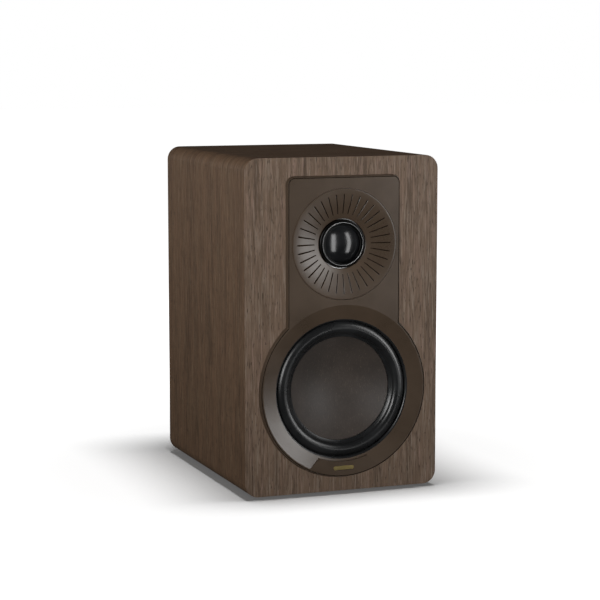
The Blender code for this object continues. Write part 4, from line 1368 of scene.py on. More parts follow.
# ---- sub-assemblies ---------------------------------------------------------------------
@dataclass
class Cabinet:
    """The veneered box, its feet and its boards."""

    finish: Finishes
    edge_radius: float = 0.010
    veneer: float = 0.0006
    joint: float = 0.00005  # the glue line between front sheet and wrap
    arris: float = 0.0002
    foot_radius: float = 0.007
    plate_corner: float = 0.008  # of the opening for the tweeter's square plate
    port_hole: float = 0.0240
    cup_hole: tuple[float, float, float] = (0.0316, 0.0226, 0.004)  # half sizes and corner

    def outline(self, inset: float = 0.0, steps: int = 14) -> Outline:
        """The cabinet's outline from the front.

        Args:
            inset: how far it is drawn in.
            steps: chords in each corner.

        Returns:
            The outline.
        """
        half_h = (DATUM.high - DATUM.low) / 2
        return rounded_rect(
            DATUM.half_width - inset, half_h - inset, self.edge_radius - inset, 0,
            DATUM.low + half_h, steps,
        )

    def along_wrap(self, x: float, z: float) -> float:
        """How far along the wrap a point is.

        Args:
            x, z: the point.

        Returns:
            Metres from the middle of the underside, up the left side.
        """
        half_w, radius = DATUM.half_width, self.edge_radius
        mid = (DATUM.low + DATUM.high) / 2
        flat_w, flat_h = half_w - radius, (DATUM.high - DATUM.low) / 2 - radius
        quarter = math.pi / 2 * radius
        cx, cz = max(-flat_w, min(flat_w, x)), max(mid - flat_h, min(mid + flat_h, z))
        dx, dz = x - cx, z - cz
        turn = math.atan2(-dx, -dz) if dx or dz else 0.0
        up, over = flat_w + quarter + (cz - mid + flat_h), 2 * flat_h + quarter
        if dx < 0 and dz < 0 and cz < mid:
            return flat_w + turn * radius
        if dx < 0 and dz <= 0:
            return up
        if dx < 0:
            return flat_w + over + (turn - math.pi / 2) * radius
        if dx == 0 and dz > 0:
            return flat_w + over + quarter + (cx + flat_w)
        if dz > 0:
            return 3 * flat_w + over + quarter + (math.pi + turn if turn < 0 else turn) * radius
        if dx > 0 and dz == 0:
            return 3 * flat_w + over + 2 * quarter + (mid + flat_h - cz)
        if dx > 0:
            start = 3 * flat_w + 2 * over + 2 * quarter - quarter
            return start + (math.pi / 2 + turn if turn < 0 else turn) * radius
        return -cx if cx <= 0 else 4 * flat_w + 2 * over + 2 * quarter - cx

    def grain(self, mesh: Mesh, wrapped: bool) -> None:
        """Adds the grain map, in metres across and along the grain.

        Args:
            mesh: what is mapped.
            wrapped: whether the grain goes round the cabinet.
        """
        length = 0.0
        if wrapped:
            length = self.along_wrap(1e-6, DATUM.low)
        layer = mesh.uv_layers.new(name="grain")
        for face in mesh.polygons:
            centre = self.along_wrap(face.center.x, face.center.z) if wrapped else 0.0
            for corner in face.loop_indices:
                at = mesh.vertices[mesh.loops[corner].vertex_index].co
                if not wrapped:
                    layer.data[corner].uv = (at.x, at.z)
                    continue
                along = self.along_wrap(at.x, at.z)
                if abs(along - centre) > length / 2:
                    along += math.copysign(length, centre - along)
                layer.data[corner].uv = (at.y, along)

    def build(self) -> None:
        """Makes the three veneered pieces and the feet, and dresses the boards."""
        woofer, tweeter = DATUM.middle("woofer_basket"), DATUM.middle("tweeter_faceplate")
        low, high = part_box("tweeter_faceplate")
        hole = rounded_rect(
            (high.x - low.x) / 2, (high.z - low.z) / 2, self.plate_corner, 0, tweeter.z
        )
        reach = (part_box("woofer_basket")[1].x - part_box("woofer_basket")[0].x) / 2
        front = sheet(
            "cabinet_front",
            [self.outline(), circle(reach, 0, woofer.z), hole],
            DATUM.front,
            DATUM.front + self.veneer,
            self.arris,
        )
        self.grain(front, False)
        cover(front, self.finish.veneer, "walnut_veneer", Body.CABINET, "front_veneer")

        start = DATUM.front + self.veneer + self.joint
        wrap = sheet(
            "cabinet_wrap", [
                self.outline(), self.outline(self.veneer)
            ], start, DATUM.rear, self.arris * 0.75
        )
        self.grain(wrap, True)
        cover(wrap, self.finish.wrap, "walnut_veneer", Body.CABINET, "veneer_wrap")

        low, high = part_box("rear_panel")
        port = DATUM.middle("port_tube")
        cup = DATUM.middle("terminal_cup")
        back = sheet(
            "cabinet_back",
            [
                self.outline(self.veneer + self.joint),
                circle(self.port_hole, 0, port.z),
                rounded_rect(*self.cup_hole, 0, cup.z),
            ],
            low.y,
            high.y,
            self.arris,
        )
        self.grain(back, False)
        cover(back, self.finish.veneer, "walnut_veneer", Body.CABINET, "rear_panel")
        self.build_feet()
        boards = ("left_panel", "right_panel", "top_panel", "bottom_panel", "front_baffle")
        dress(self.finish.board, *boards)

    def build_feet(self) -> None:
        """Four soft feet with a rounded tread."""
        names = [f"foot_{end}_{side}" for end in ("front", "rear") for side in ("left", "right")]
        feet = []
        for name in names:
            centre = DATUM.middle(name)
            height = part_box(name)[1].z
            radius = self.foot_radius
            profile = soften(
                [(0, height), (radius * 0.96, height), (radius, 0), (0, 0)], 0.0007, 4, False
            )
            foot = turned(name, profile, Seat(0, 0, 0), 64, closed=False)
            foot.transform(
                Matrix.Translation((centre.x, centre.y, 0)) @ Matrix.Rotation(-math.pi / 2, 4, "X")
            )
            feet.append(foot)
        mesh = settle(joined("rubber_feet", feet))
        cover(mesh, self.finish.rubber, "black_rubber", Body.CABINET, *names)


@dataclass
class Trim:
    """The raised keyhole moulding with its conical mouth and the plaque on its plateau."""

    finish: Finishes
    draft: float = 0.0011
    half_width: float = 0.0444
    top_margin: float = 0.0131
    corner: float = 0.0062
    rim: float = 0.0652
    slope: float = 0.0624
    mouth: float = 0.0516
    disc: float = 0.0403
    plateau: float = 0.0530
    plateau_out: float = 26.5
    plateau_in: float = 20.5
    land: float = 0.00025  # the strip between the front edge and the line inside it
    groove: float = 0.00050  # the width of that line
    undercut: Point = (0.0004, 0.0005)  # the shadow gap round the foot: its depth and height
    plaque: Point = (0.0080, 0.0016)

    def keyhole(self, inset: float) -> Outline:
        """The moulding's outline.

        Args:
            inset: how far it is drawn in.

        Returns:
            The outline.
        """
        half, radius = self.half_width - inset, self.rim - inset
        top, corner = DATUM.high - self.top_margin - inset, self.corner - inset
        low = DATUM.middle("woofer_cone").z
        meet = math.degrees(math.acos(half / radius))
        points = arc(0, low, radius, -180 - meet, meet, 176)
        points += arc(half - corner, top - corner, corner, 0, 90, 12)
        points += arc(corner - half, top - corner, corner, 90, 180, 12)
        return points

    def inset(self, x: float, z: float) -> float:
        """How far inside the moulding's outline a point is.

        Args:
            x, z: the point.

        Returns:
            The distance, negative outside.
        """
        low, top = DATUM.middle("woofer_cone").z, DATUM.high - self.top_margin
        round_part = self.rim - math.hypot(x, z - low)
        across, up = abs(x) - self.half_width + self.corner, z - top + self.corner
        if z < low:
            return round_part
        column = self.corner - (
            math.hypot(across, up) if across > 0 and up > 0 else max(across, up)
        )
        return max(round_part, column)

    def build(self) -> None:
        """Makes the moulding and its plaque."""
        face = DATUM.trim_face
        seat = DATUM.front_seat("woofer_cone")
        tweeter = DATUM.middle("tweeter_dome")
        inner, line = self.draft + self.land, self.groove
        under, lift = self.undercut
        profile = [(under, 0.0), (under, lift), (self.draft * lift / face, lift + under * 0.3)]
        profile += [(self.draft, face), (inner, face), (inner + line * 0.15, face - line * 1.3)]
        profile += [(inner + line, face - line * 1.3), (inner + line * 1.15, face)]
        rings = [(self.keyhole(inset), seat.out(reach)) for inset, reach in profile]
        slab = lofted("trim_moulding", rings)
        over = 0.002
        run = (self.slope - self.mouth) / face
        mouth = turned(
            "mouth",
            [
                (0, face + over),
                (self.slope + run * over, face + over),
                (self.mouth, 0.0),
                (self.mouth, -over),
                (0, -over),
            ],
            seat,
            256,
            closed=False,
        )
        far = self.slope + 2 * over
        block = arc(seat.x, seat.z, far, -90 - self.plateau_out, -90 + self.plateau_out, 48)
        block += arc(seat.x, seat.z, self.plateau, -90 + self.plateau_in, -90 - self.plateau_in, 40)
        keep = sheet("plateau", [block], seat.out(face + 2 * over), seat.out(-2 * over))
        mouth = carved(mouth, keep)
        disc = sheet(
            "disc_hole",
            [circle(self.disc + 0.00022, tweeter.x, tweeter.z, 216)],
            seat.out(face + over),
            seat.out(-over),
        )
        low = seat.z - (self.plateau + self.slope) / 2
        half_w, half_h = self.plaque
        bar = rounded_rect(half_w, half_h, half_h * 0.9, 0, low)
        sink = sheet("plaque_sink", [bar], seat.out(face + over), seat.out(face - 0.0008))
        slab = carved(slab, mouth, disc, sink, edge=0.00012)
        # Faces in the groove line take the dark matte finish: painted shade in the groove, as the moulding
        # casts no shadow of its own.
        for piece in slab.polygons:
            inset, reach = self.inset(piece.center.x, piece.center.z), seat.y - piece.center.y
            in_painted_groove_shade = inner - 0.0001 < inset < inner + line * 1.3 and reach < face - 0.00006
            piece.material_index = int(in_painted_groove_shade and reach > 0.001)
        finishes = (self.finish.trim, self.finish.shade)
        cover(slab, finishes, "brown_moulding", Body.CABINET, "baffle_trim", name="trim_moulding")
        inner_bar = rounded_rect(half_w - 0.0001, half_h - 0.0001, (half_h - 0.0001) * 0.9, 0, low)
        front = seat.out(face)
        mark = sheet("plain_plaque", [inner_bar], front, front + 0.0006, 0.0002)
        cover(mark, self.finish.plaque, "gold_plaque", Body.CABINET, "plaque")


@dataclass
class Woofer:
    """The bass unit: gasket, roll surround, bowl-shaped cone and what is behind them."""

    finish: Finishes
    roll_outer: float = 0.0495
    roll_inner: float = 0.0410
    skin: float = 0.0007
    lip: float = 0.0036
    lip_reach: float = -0.00355
    cone_radius: float = 0.0381
    cone_sink: float = 0.0054
    cone_depth: float = 0.0146
    wall: float = 0.0008
    seat: Seat = field(default_factory=lambda: DATUM.front_seat("woofer_cone"))

    def cone_reach(self, radius: float) -> float:
        """The cone's middle surface."""
        return -self.cone_sink - self.cone_depth * (1 - (radius / self.cone_radius) ** 2)

    def roll(self, steps: int = 28) -> Outline:
        """The surround's middle line.

        Args:
            steps: chords in the half-roll.

        Returns:
            Points from its outer lip to its inner edge.
        """
        middle = (self.roll_outer + self.roll_inner) / 2
        half = (self.roll_outer - self.roll_inner) / 2
        crest = -self.skin / 2
        base = self.lip_reach
        points = [(self.roll_outer + self.lip, base), (self.roll_outer + 0.0006, base)]
        for i in range(1, steps):
            a = math.pi * i / steps
            points.append((middle + half * math.cos(a), base + (crest - base) * math.sin(a)))
        points.append((self.roll_inner - 0.0008, base - 0.0004))
        points.append((self.cone_radius + 0.0004, -self.cone_sink + 0.0006))
        return points

    def build(self) -> None:
        """Makes the moving front pieces, and dresses the rest."""
        surround = turned("woofer_roll", walled(self.roll(), self.skin), self.seat, 224)
        piece = cover(surround, self.finish.rubber, "black_rubber", None, "woofer_surround")
        stretch(piece, Body.CONE, self.cone_radius + 0.0012, self.roll_outer, self.seat)

        ring = soften(
            [
                (self.roll_outer + 0.0008, -0.0029),
                (self.roll_outer + 0.0008, -0.0013),
                (self.roll_outer + 0.0016, -0.0006),
                (self.roll_outer + self.lip, -0.0006),
                (self.roll_outer + self.lip, -0.0029),
            ],
            0.0004,
        )
        gasket = turned("woofer_ring", ring, self.seat, 192)
        cover(gasket, self.finish.rubber, "black_rubber", Body.CABINET, "woofer_gasket")

        steps = 56
        radii = [self.cone_radius * i / steps for i in range(steps + 1)]
        bowl = [(radius, self.cone_reach(radius)) for radius in radii]
        front = [(r, y + self.wall / 2) for r, y in bowl]
        back = [(r, y - self.wall / 2) for r, y in reversed(bowl)]
        rim = [(self.cone_radius + 0.0003, bowl[-1][1] + self.wall * 0.2)]
        cone = turned("woofer_bowl", [*front, *rim, *back], self.seat, 224, closed=False)
        cover(cone, self.finish.cone, "fibre_cone", Body.CONE, "woofer_cone")

        low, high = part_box("woofer_spider")
        outer, inner = (high.x - low.x) / 2 - 0.0002, (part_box("woofer_coil_former")[1].x + 0.0004)
        middle = -(((low.y + high.y) / 2) - DATUM.front)
        waves = []
        for i in range(97):
            radius = outer + (inner - outer) * i / 96
            share = min(1.0, i / 14, (96 - i) / 8)
            waves.append((radius, middle + 0.0009 * share * math.sin(math.tau * 5.5 * i / 96)))
        spider = turned("woofer_spider_cloth", walled(waves, 0.0004), self.seat, 120)
        piece = cover(spider, self.finish.spider, "spider_cloth", None, "woofer_spider")
        stretch(piece, Body.CONE, inner + 0.001, outer - 0.001, self.seat)

        dress(self.finish.former, "woofer_coil_former")
        dress(self.finish.coil, "woofer_voice_coil")
        dress(self.finish.steel, "woofer_basket", "woofer_top_plate", "woofer_yoke")
        dress(self.finish.ferrite, "woofer_magnet")
        dress(self.finish.zinc, *numbered("woofer_screw"))


def walled(line: Sequence[Point], wall: float) -> Outline:
    """A closed profile of an even wall about a middle line.

    Args:
        line: (radius, reach) points.
        wall: its thickness.

    Returns:
        The profile, out along one side and back along the other.
    """
    front, back = [], []
    for i, (radius, reach) in enumerate(line):
        ahead, behind = line[min(i + 1, len(line) - 1)], line[max(i - 1, 0)]
        way = Vector((ahead[0] - behind[0], ahead[1] - behind[1])).normalized()
        side = Vector((-way.y, way.x)) * wall / 2
        front.append((radius + side.x, reach + side.y))
        back.append((radius - side.x, reach - side.y))
    return [*front, *reversed(back)]


@dataclass
class Tweeter:
    """The dome unit behind its slotted waveguide."""

    finish: Finishes
    disc: float = 0.0403
    throat: float = 0.0182
    drop: float = 0.0046
    power: float = 1.6
    dome_radius: float = 0.0133
    dome_sink: float = 0.0018
    dome_rise: float = 0.0048
    skin: float = 0.0004
    slots: int = 36
    slot_inner: float = 0.0205
    slot_outer: float = 0.0362
    slot_width: float = 0.0006
    slot_floor: float = 0.0001
    pocket_radius: float = 0.0341
    plate_corner: float = 0.008
    plate_reach: Point = (-0.0024, -0.0046)  # the square plate's front and back
    seat: Seat = field(default_factory=lambda: DATUM.front_seat("tweeter_dome"))

    def flare(self, radius: float) -> float:
        """The waveguide's front surface."""
        way = max(0.0, (self.disc - radius) / (self.disc - self.throat))
        return DATUM.trim_face - self.drop * way**self.power

    def build(self) -> None:
        """Makes the waveguide, the roll and the dome, and dresses the rest."""
        low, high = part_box("tweeter_faceplate")
        back = -(high.y - DATUM.front)
        pocket = self.flare(self.throat) - 0.0011
        steps = 40
        run = self.disc - self.throat - 0.0004
        radii = [self.throat + 0.0002 + run * i / steps for i in range(steps + 1)]
        front = [(r, self.flare(r)) for r in radii]
        rim = self.flare(self.disc)
        edge = [(self.disc - 0.00006, rim - 0.00006), (self.disc, rim - 0.0002)]
        profile = [
            (self.throat, self.flare(self.throat) - 0.0002), *front, *edge, (self.disc, back),
            (self.pocket_radius, back), (self.pocket_radius, pocket), (self.throat, pocket),
        ]
        disc = turned("tweeter_waveguide", profile, self.seat, self.slots * 8)
        top = self.flare(self.slot_outer) + 0.001
        middle = (self.slot_floor + top) / 2
        disc = slotted().grow(
            disc,
            Count=self.slots,
            Radius=(self.slot_inner + self.slot_outer) / 2,
            Centre=(self.seat.x, self.seat.out(middle), self.seat.z),
            Size=(self.slot_outer - self.slot_inner, top - self.slot_floor, self.slot_width),
            Finish=self.finish.trim,
        )
        disc.materials.append(self.finish.shade)
        # Faces inside the slots take the dark matte finish: painted shade in the slots.
        for face in disc.polygons:
            radius = math.hypot(face.center.x - self.seat.x, face.center.z - self.seat.z)
            depth = self.flare(radius) - (self.seat.y - face.center.y)
            inside = self.slot_inner < radius < self.slot_outer and 0.00004 < depth < self.drop
            face.material_index = int(
                inside and self.seat.y - face.center.y > self.slot_floor - 0.0001
            )
        half = (high.x - low.x) / 2
        flange = sheet(
            "flange",
            [
                rounded_rect(half, half, self.plate_corner, self.seat.x, self.seat.z),
                circle(self.disc - 0.0005, self.seat.x, self.seat.z),
            ],
            *(self.seat.out(reach) for reach in self.plate_reach),
            0.0001,
        )
        plate = joined("tweeter_waveguide", [disc, flange])
        finishes = (self.finish.trim, self.finish.shade)
        cover(plate, finishes, "brown_moulding", Body.CABINET, "tweeter_faceplate")

        ball = (self.dome_radius**2 + self.dome_rise**2) / (2 * self.dome_rise)
        radii = [self.dome_radius * i / 32 for i in range(33)]
        top = -self.dome_sink + self.dome_rise
        cap = [(r, top - ball + math.sqrt(ball**2 - r**2)) for r in radii]
        outside = [(r, y + self.skin / 2) for r, y in cap]
        inside = [(r, y - self.skin / 2) for r, y in reversed(cap)]
        dome = turned("tweeter_cap", [*outside, *inside], self.seat, 160, closed=False)
        cover(dome, self.finish.silk, "silk_dome", Body.DOME, "tweeter_dome")

        foot = self.throat - 0.0007
        inner = self.dome_radius + 0.0004
        crest = 0.0005
        line = [(self.throat + 0.0022, -0.0027), (foot + 0.0002, -0.0027)]
        middle_r, half_r = (inner + foot) / 2, (foot - inner) / 2
        for i in range(1, 25):
            a = math.pi * i / 24
            rise = (crest + self.dome_sink) * math.sin(a)
            line.append((middle_r + half_r * math.cos(a), -self.dome_sink + rise))
        line += [(self.dome_radius - 0.0003, -self.dome_sink - 0.00025)]
        roll = turned("tweeter_roll", walled(line, self.skin), self.seat, 160)
        piece = cover(roll, self.finish.silk, "silk_dome", None, "tweeter_surround")
        stretch(piece, Body.DOME, inner + 0.0003, foot, self.seat)

        dress(self.finish.coil, "tweeter_voice_coil")
        dress(self.finish.steel, "tweeter_top_plate", "tweeter_yoke")
        dress(self.finish.ferrite, "tweeter_magnet")
        dress(self.finish.zinc, *numbered("tweeter_screw"))


@dataclass
class Port:
    """The flared reflex tube."""

    finish: Finishes
    bore: float = 0.0175
    wall: float = 0.0022
    flare: float = 0.008
    length: float = 0.090
    collar: float = 0.0238
    seat: Seat = field(default_factory=lambda: DATUM.rear_seat("port_tube"))

    def build(self) -> None:
        """Makes the tube."""
        rim = (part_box("port_tube")[1].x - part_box("port_tube")[0].x) / 2
        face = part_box("port_tube")[1].y - DATUM.rear
        mouth = self.bore + self.flare
        bell = [(mouth - self.flare * math.cos(a), face - self.flare + self.flare * math.sin(a))
                for a in (math.pi / 2 * i / 24 for i in range(25))]
        edge = soften(
            [bell[-1], (rim, face), (rim, 0.0001), (self.collar, 0.0001)], 0.0009, 6, False
        )[1:]
        profile = [
            (self.bore + 0.0004, face - self.length),
            (self.bore, face - self.length + 0.0004),
            *bell,
            *edge,
            (self.collar - 0.0006, -0.002),
            (self.bore + self.wall, face - self.flare - 0.002),
            (self.bore + self.wall, face - self.length),
        ]
        tube = turned("port_flare", profile, self.seat, 144)
        cover(tube, self.finish.black, "black_plastic", Body.CABINET, "port_tube")


@dataclass
class Terminals:
    """The recessed cup with its two binding posts."""

    finish: Finishes
    flange: Point = (0.040, 0.031)
    recess: Point = (0.029, 0.020)
    depth: float = 0.012
    wall: float = 0.002
    face: float = 0.0023
    stud: float = 0.003
    socket: float = 0.002
    knob: float = 0.0065
    rib: float = 0.0004
    ribs: int = 28
    screw_head: Point = (0.0031, 0.0011)  # its radius and the height of its crown
    screw_shank: Point = (0.0016, 0.0105)
    seat: Seat = field(default_factory=lambda: DATUM.rear_seat("terminal_cup"))

    def build(self) -> None:
        """Makes the cup, its screws and both posts."""
        x, z = self.seat.x, self.seat.z
        out = self.seat.out
        half_w, half_h = self.recess
        plate = sheet(
            "terminal_dish",
            [rounded_rect(*self.flange, 0.006, x, z)],
            out(0.0001),
            out(self.face),
            0.0008,
        )
        box = sheet("box", [rounded_rect(half_w + self.wall, half_h + self.wall, 0.004, x, z)],
                    out(-self.depth - self.wall), out(self.face - 0.0004))
        rings = [(rounded_rect(half_w - 0.0012, half_h - 0.0012, 0.003, x, z), out(-self.depth)),
                 (rounded_rect(half_w, half_h, 0.004, x, z), out(self.face + 0.001))]
        hollow = lofted("hollow", rings)
        holes = [
            turned("hole", [(0, -self.depth + 0.001), (self.socket + 0.0002, -self.depth + 0.001),
                            (self.socket + 0.0002, -self.depth - 0.003), (0, -self.depth - 0.003)],
                   DATUM.rear_seat(f"{c}_post"), 48, closed=False)
            for c in ("black", "red")
        ]
        cup = carved(plate, hollow, *holes, join=[box], edge=0.0005)
        cover(
            cup,
            self.finish.black,
            "black_plastic",
            Body.CABINET,
            "terminal_cup",
            name="terminal_dish",
        )
        self.build_screws()
        self.build_post("black", Body.BLACK_WASHER, Body.BLACK_KNOB, self.finish.black)
        self.build_post("red", Body.RED_WASHER, Body.RED_KNOB, self.finish.red)

    def build_screws(self) -> None:
        """Four pan-head screws with cross recesses."""
        names = numbered("terminal_screw")
        boxes = [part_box(n) for n in names]
        centres = [(low + high) / 2 for low, high in boxes]
        width = max(c.x for c in centres) - min(c.x for c in centres)
        height = max(c.z for c in centres) - min(c.z for c in centres)
        tip, tail = boxes[0][1].y, boxes[0][0].y
        origin = Seat(0, 0, 0, Facing.REAR)
        (head, rise), (stem, length) = self.screw_head, self.screw_shank
        angles = (math.pi / 2 * i / 8 for i in range(9))
        crown = [(head * math.sin(a), -rise + rise * math.cos(a)) for a in angles]
        shank = [(head, -2 * rise), (stem, -2 * rise), (stem, -length), (0, tail - tip)]
        one = turned("cross_screw", [*crown, *shank], origin, 40, closed=False)
        made = screwed().grow(
            one,
            Centre=(self.seat.x, tip, self.seat.z),
            Width=width,
            Height=height,
            Recess=(0.0007, 0.0022, 0.0030),
            Finish=self.finish.zinc,
        )
        cover(made, self.finish.zinc, "coated_steel", Body.CABINET, *names, name="terminal_screws")

    def build_post(self, colour: str, washer: Body, knob: Body, dye: Material) -> None:
        """One stud, its captive washer and the ribbed knob.

        Args:
            colour: black or red.
            washer: the washer's body.
            knob: the knob's body.
            dye: the knob's material.
        """
        seat = DATUM.rear_seat(f"{colour}_post")
        low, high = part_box(f"{colour}_post")
        tip, tail = high.y - DATUM.rear, low.y - DATUM.rear
        collar = -self.depth + 0.0028
        thread = []
        turns = int((tip - collar - 0.001) / 0.0005)
        for i in range(turns):
            y = tip - 0.0004 - i * 0.0005
            thread += [(self.stud, y), (self.stud - 0.00022, y - 0.00025)]
        profile = [
            (0, collar - 0.001), (self.socket, collar - 0.001), (self.socket, tip - 0.0003),
            (self.socket + 0.0003, tip), (self.stud - 0.0003, tip), *thread, (
                self.stud - 0.0002, collar
            ),
            (self.stud + 0.0015, collar), (self.stud + 0.0015, -self.depth + 0.0002),
            (self.socket, -self.depth + 0.0002), (self.socket, tail), (0, tail),
        ]
        stud = turned(f"{colour}_stud", profile, seat, 64, closed=False)
        cover(stud, self.finish.gold, "gold_metal", Body.CABINET, f"{colour}_post")

        low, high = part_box(f"{colour}_post_washer")
        under, over = low.y - DATUM.rear, high.y - DATUM.rear
        bore, outer = self.stud + 0.0002, (high.x - low.x) / 2
        ring = soften([(bore, over), (outer, over), (outer, under), (bore, under)], 0.0002)
        cover(
            turned(f"{colour}_washer", ring, seat, 64),
            self.finish.gold,
            "gold_metal",
            washer,
            f"{colour}_post_washer",
        )

        low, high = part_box(f"{colour}_post_knob")
        under, over = low.y - DATUM.rear, high.y - DATUM.rear
        body = self.knob - self.rib
        ring = soften(
            [
                (bore + 0.0003, over), (body - 0.0006, over), (body, over - 0.0010),
                (body, under + 0.0008), (body - 0.0004, under), (bore, under),
            ],
            0.0004,
        )
        mesh = turned(f"{colour}_knob", ring, seat, 96)
        mesh = ribbed().grow(
            mesh,
            Count=self.ribs,
            Radius=body - self.rib * 0.2,
            Centre=(seat.x, seat.out((under + over) / 2), seat.z),
            Size=(self.rib * 2.4, (over - under) * 0.86, self.rib * 1.9),
            Finish=dye,
        )
        cover(mesh, dye, f"{colour}_plastic", knob, f"{colour}_post_knob", name=f"{colour}_knob")


@dataclass
class Inside:
    """The crossover on the cabinet's floor, its wires, and the lining."""

    finish: Finishes
    wadding: float = 0.012

    def build(self) -> None:
        """Dresses the crossover and makes the lining."""
        dress(self.finish.laminate, "crossover_board")
        dress(self.finish.inductor, "woofer_inductor", "tweeter_inductor")
        dress(self.finish.film, "woofer_capacitor", "tweeter_capacitor")
        dress(self.finish.ceramic, "crossover_resistor")
        dress(self.finish.sleeve, "woofer_cable", "tweeter_cable")
        self.build_lining()

    def build_lining(self) -> None:
        """An arch of loose fibre under the top, down both sides."""
        low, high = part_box("damping_wadding")
        thick = self.wadding
        steps_y, step = 56, 0.0025

        def run(a: Point, b: Point) -> Outline:
            """Points a step apart.

            Args:
                a, b: where they start and end.

            Returns:
                The points, without b.
            """
            count = max(1, round(math.dist(a, b) / step))
            across, up = b[0] - a[0], b[1] - a[1]
            return [(a[0] + across * i / count, a[1] + up * i / count) for i in range(count)]

        corners = [
            (low.x, low.z), (low.x + thick, low.z), (low.x + thick, high.z - thick),
            (high.x - thick, high.z - thick), (high.x - thick, low.z), (high.x, low.z),
            (high.x, high.z), (low.x, high.z),
        ]
        corners = soften(corners, 0.004, 3)
        outline: Outline = []
        for a, b in zip(corners, corners[1:] + corners[:1]):
            outline += run(a, b)
        rings = []
        for k in range(steps_y + 1):
            t = k / steps_y
            rings.append((outline, low.y + (high.y - low.y) * t))
        mesh = lofted("lining", rings, 80)
        centre = Vector((0, (low.y + high.y) / 2, (low.z + high.z) / 2))
        for vertex in mesh.vertices:
            wave = noise.fractal(vertex.co * 90, 0.8, 2.0, 4)
            inward = (centre - vertex.co).normalized()
            vertex.co += inward * 0.0012 * (0.6 + wave)
            vertex.co.y += 0.0008 * noise.noise(vertex.co * 160)
        for vertex in mesh.vertices:
            vertex.co = Vector(min(max(a, b), c) for a, b, c in zip(vertex.co, low, high))
        mesh.update()
        piece = cover(
            mesh,
            self.finish.wadding,
            "polyester_wadding",
            Body.CABINET,
            "damping_wadding",
            name="fibre_lining",
        )


# ---- studio -----------------------------------------------------------------------------
DOME, DOME_ROLL, WOOFER_ROLL = "tweeter_cap", "tweeter_roll", "woofer_roll"


@dataclass(frozen=True)
class Softbox:
    """A soft area lamp, placed by its bearing from the object's front."""

    name: str
    bearing: float  # degrees from -Y towards +X
    distance: float
    height: float
    size: Point
    power: float  # watts
    spread: float = 90.0  # degrees
    aim: float = 0.33  # the height that it points at
    shape: str = "RECTANGLE"

    def build(self, receivers: bpy.types.Collection) -> Object:
        """Hangs the lamp.

        Args:
            receivers: what it lights.

        Returns:
            The lamp.
        """
        turn = math.radians(self.bearing)
        at = Vector((math.sin(turn) * self.distance, -math.cos(turn) * self.distance, self.height))
        data = bpy.data.lights.new(self.name, "AREA")
        data.shape, data.size, data.size_y = self.shape, *self.size
        data.energy, data.spread = self.power, math.radians(self.spread)
        lamp = bpy.data.objects.new(self.name, data)
        lamp.location = at
        lamp.rotation_euler = (at - Vector((0, 0, self.aim))).to_track_quat("Z", "Y").to_euler()
        lamp.visible_camera = False
        lamp.light_linking.receiver_collection = receivers
        bpy.context.scene.collection.objects.link(lamp)
        return lamp


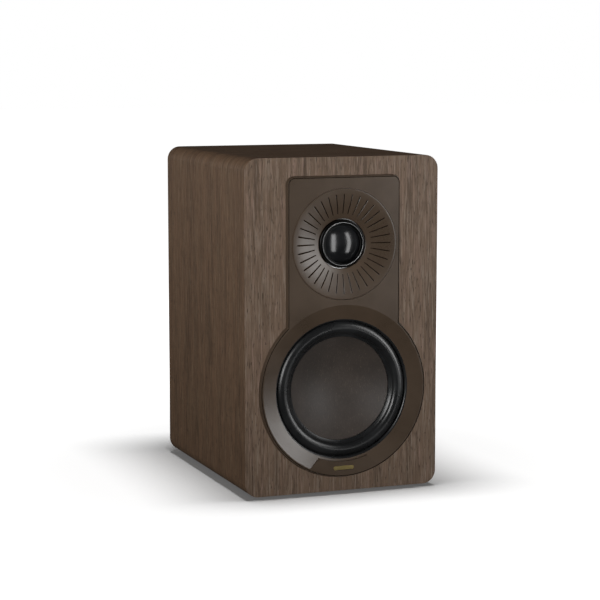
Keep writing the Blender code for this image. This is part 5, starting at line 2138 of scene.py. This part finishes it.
@dataclass
class Studio:
    """A pale floor, soft light and the camera."""

    camera_at: tuple[float, float, float] = (-0.5282, -1.4015, 0.3236)
    turn: float = -20.758
    tilt: float = 7.303
    lens: float = 117.44
    ambient: float = 0.035
    floor_level: float = -0.0001
    floor_half: float = 9.0
    glow_from: Point = (0.14, 0.10)  # a distance from the axis and the glow there
    glow_to: Point = (0.52, 1.0)
    overhead: Softbox = Softbox("overhead", -10, 0.06, 1.0, (0.36, 0.22), 11.0, 180, 0.0, "ELLIPSE")
    boxes: tuple[Softbox, ...] = (
        Softbox("left box", -47.0, 1.0, 0.58, (0.50, 0.90), 1.8, 62, 0.44),
        Softbox("right strip", 43.0, 1.0, 0.40, (0.38, 0.80), 1.35, 80, 0.34),
        Softbox("side fill", -118.0, 0.9, 0.48, (0.5, 0.6), 0.45, 62, 0.40),
        Softbox("rear fill", 158.0, 1.0, 0.12, (0.4, 0.2), 0.9, 120, 0.12),
    )
    glints: tuple[tuple[Softbox, str], ...] = (
        (Softbox("left glint", -20.6, 1.0, 0.18, (0.28, 1.30), 5.6, 180, 0.184), DOME),
        (Softbox("right glint", 39.5, 1.0, 0.18, (0.28, 1.30), 5.0, 180, 0.184), DOME),
        (
            Softbox("tweeter ring glint", 20.6, 0.6, 0.110, (0.05, 0.05), 0.30, 180, 0.184),
            DOME_ROLL,
        ),
        (
            Softbox("woofer ring glint", 20.6, 0.6, 0.004, (0.05, 0.05), 0.10, 180, 0.077),
            WOOFER_ROLL,
        ),
    )

    def build(self) -> None:
        """Makes the stage."""
        scene = bpy.context.scene
        data = bpy.data.cameras.new("camera")
        data.lens, data.sensor_width = self.lens, 36.0
        camera = bpy.data.objects.new("camera", data)
        camera.location = self.camera_at
        camera.rotation_euler = (math.radians(90 - self.tilt), 0, math.radians(self.turn))
        scene.collection.objects.link(camera)
        scene.camera = camera
        scene.view_settings.view_transform = "Standard"
        self.build_world()
        floor = self.build_floor()
        self.overhead.build(self.group("floor", [floor]))
        dome = [bpy.data.objects[name] for name in (DOME, DOME_ROLL)]
        rest = self.group("all but the floor and the dome", [floor, *dome])
        for member in rest.collection_objects:
            member.light_linking.link_state = "EXCLUDE"
        raised = self.group(
            "what casts no shadow on the veneer", [bpy.data.objects["trim_moulding"]]
        )
        raised.collection_objects[0].light_linking.link_state = "EXCLUDE"
        for box in self.boxes:
            box.build(rest).light_linking.blocker_collection = raised
        for glint, name in self.glints:
            glint.build(self.group(glint.name, [bpy.data.objects[name]]))

    @staticmethod
    def group(name: str, members: Iterable[Object]) -> bpy.types.Collection:
        """A collection that only says what a lamp lights.

        Args:
            name: its name.
            members: what is in it.

        Returns:
            The collection.
        """
        made = bpy.data.collections.new(name)
        for member in members:
            made.objects.link(member)
        return made

    def build_world(self) -> None:
        """White to the eye, dim grey as a light."""
        world = bpy.data.worlds.new("studio")
        bpy.context.scene.world = world
        world.use_nodes = True
        nodes, links = world.node_tree.nodes, world.node_tree.links
        nodes.clear()
        sight = nodes.new("ShaderNodeLightPath")
        seen, lit = nodes.new("ShaderNodeBackground"), nodes.new("ShaderNodeBackground")
        seen.inputs["Color"].default_value = (1, 1, 1, 1)
        lit.inputs["Color"].default_value = (1.0, 0.98, 0.96, 1)
        lit.inputs["Strength"].default_value = self.ambient
        mix, out = nodes.new("ShaderNodeMixShader"), nodes.new("ShaderNodeOutputWorld")
        links.new(sight.outputs["Is Camera Ray"], mix.inputs[0])
        links.new(lit.outputs[0], mix.inputs[1])
        links.new(seen.outputs[0], mix.inputs[2])
        links.new(mix.outputs[0], out.inputs[0])

    def build_floor(self) -> Object:
        """A pale floor, as white as the backdrop away from the object and clear from below.

        Returns:
            The floor.
        """

        def build(work: bmesh.types.BMesh) -> None:
            """Fills the bmesh with one square.

            Args:
                work: the bmesh.
            """
            half, low = self.floor_half, self.floor_level
            corners = ((-half, -half), (half, -half), (half, half), (-half, half))
            work.faces.new([work.verts.new((x, y, low)) for x, y in corners])

        floor = stand(filled("floor", build))
        paint = Paint("pale floor")
        haze = paint.noise(paint.place(), 3.0)
        paint.set(
            Base_Color=paint.blend(haze, (0.80, 0.80, 0.80), (0.83, 0.83, 0.83)), Roughness=0.9
        )
        away = paint.add("ShaderNodeVectorMath", operation="LENGTH")
        paint.feed(away, 0, paint.place())
        (near, faint), (far, bright) = self.glow_from, self.glow_to
        glow = paint.span(away.outputs["Value"], near, far, faint, bright)
        paint.set(Emission_Color=(1.0, 1.0, 1.0), Emission_Strength=glow, Specular_IOR_Level=0.0)
        clear, either = paint.add("ShaderNodeBsdfTransparent"), paint.add("ShaderNodeMixShader")
        paint.feed(either, 0, paint.add("ShaderNodeNewGeometry").outputs["Backfacing"])
        paint.feed(either, 1, paint.shader.outputs[0])
        paint.feed(either, 2, clear.outputs[0])
        paint.feed(paint.tree.nodes["Material Output"], "Surface", either.outputs[0])
        floor.data.materials.append(paint.material)
        floor.visible_glossy = False
        floor.visible_diffuse = False
        return floor


def main() -> None:
    """Builds the loudspeaker's finished pieces and the studio."""
    logging.basicConfig(level=logging.INFO, format="%(name)s: %(message)s")
    finish = Finishes()
    for part in (Cabinet, Trim, Woofer, Tweeter, Port, Terminals, Inside):
        LOG.info("%s", part.__name__)
        part(finish).build()
    Studio().build()


if __name__ == "__main__":
    main()
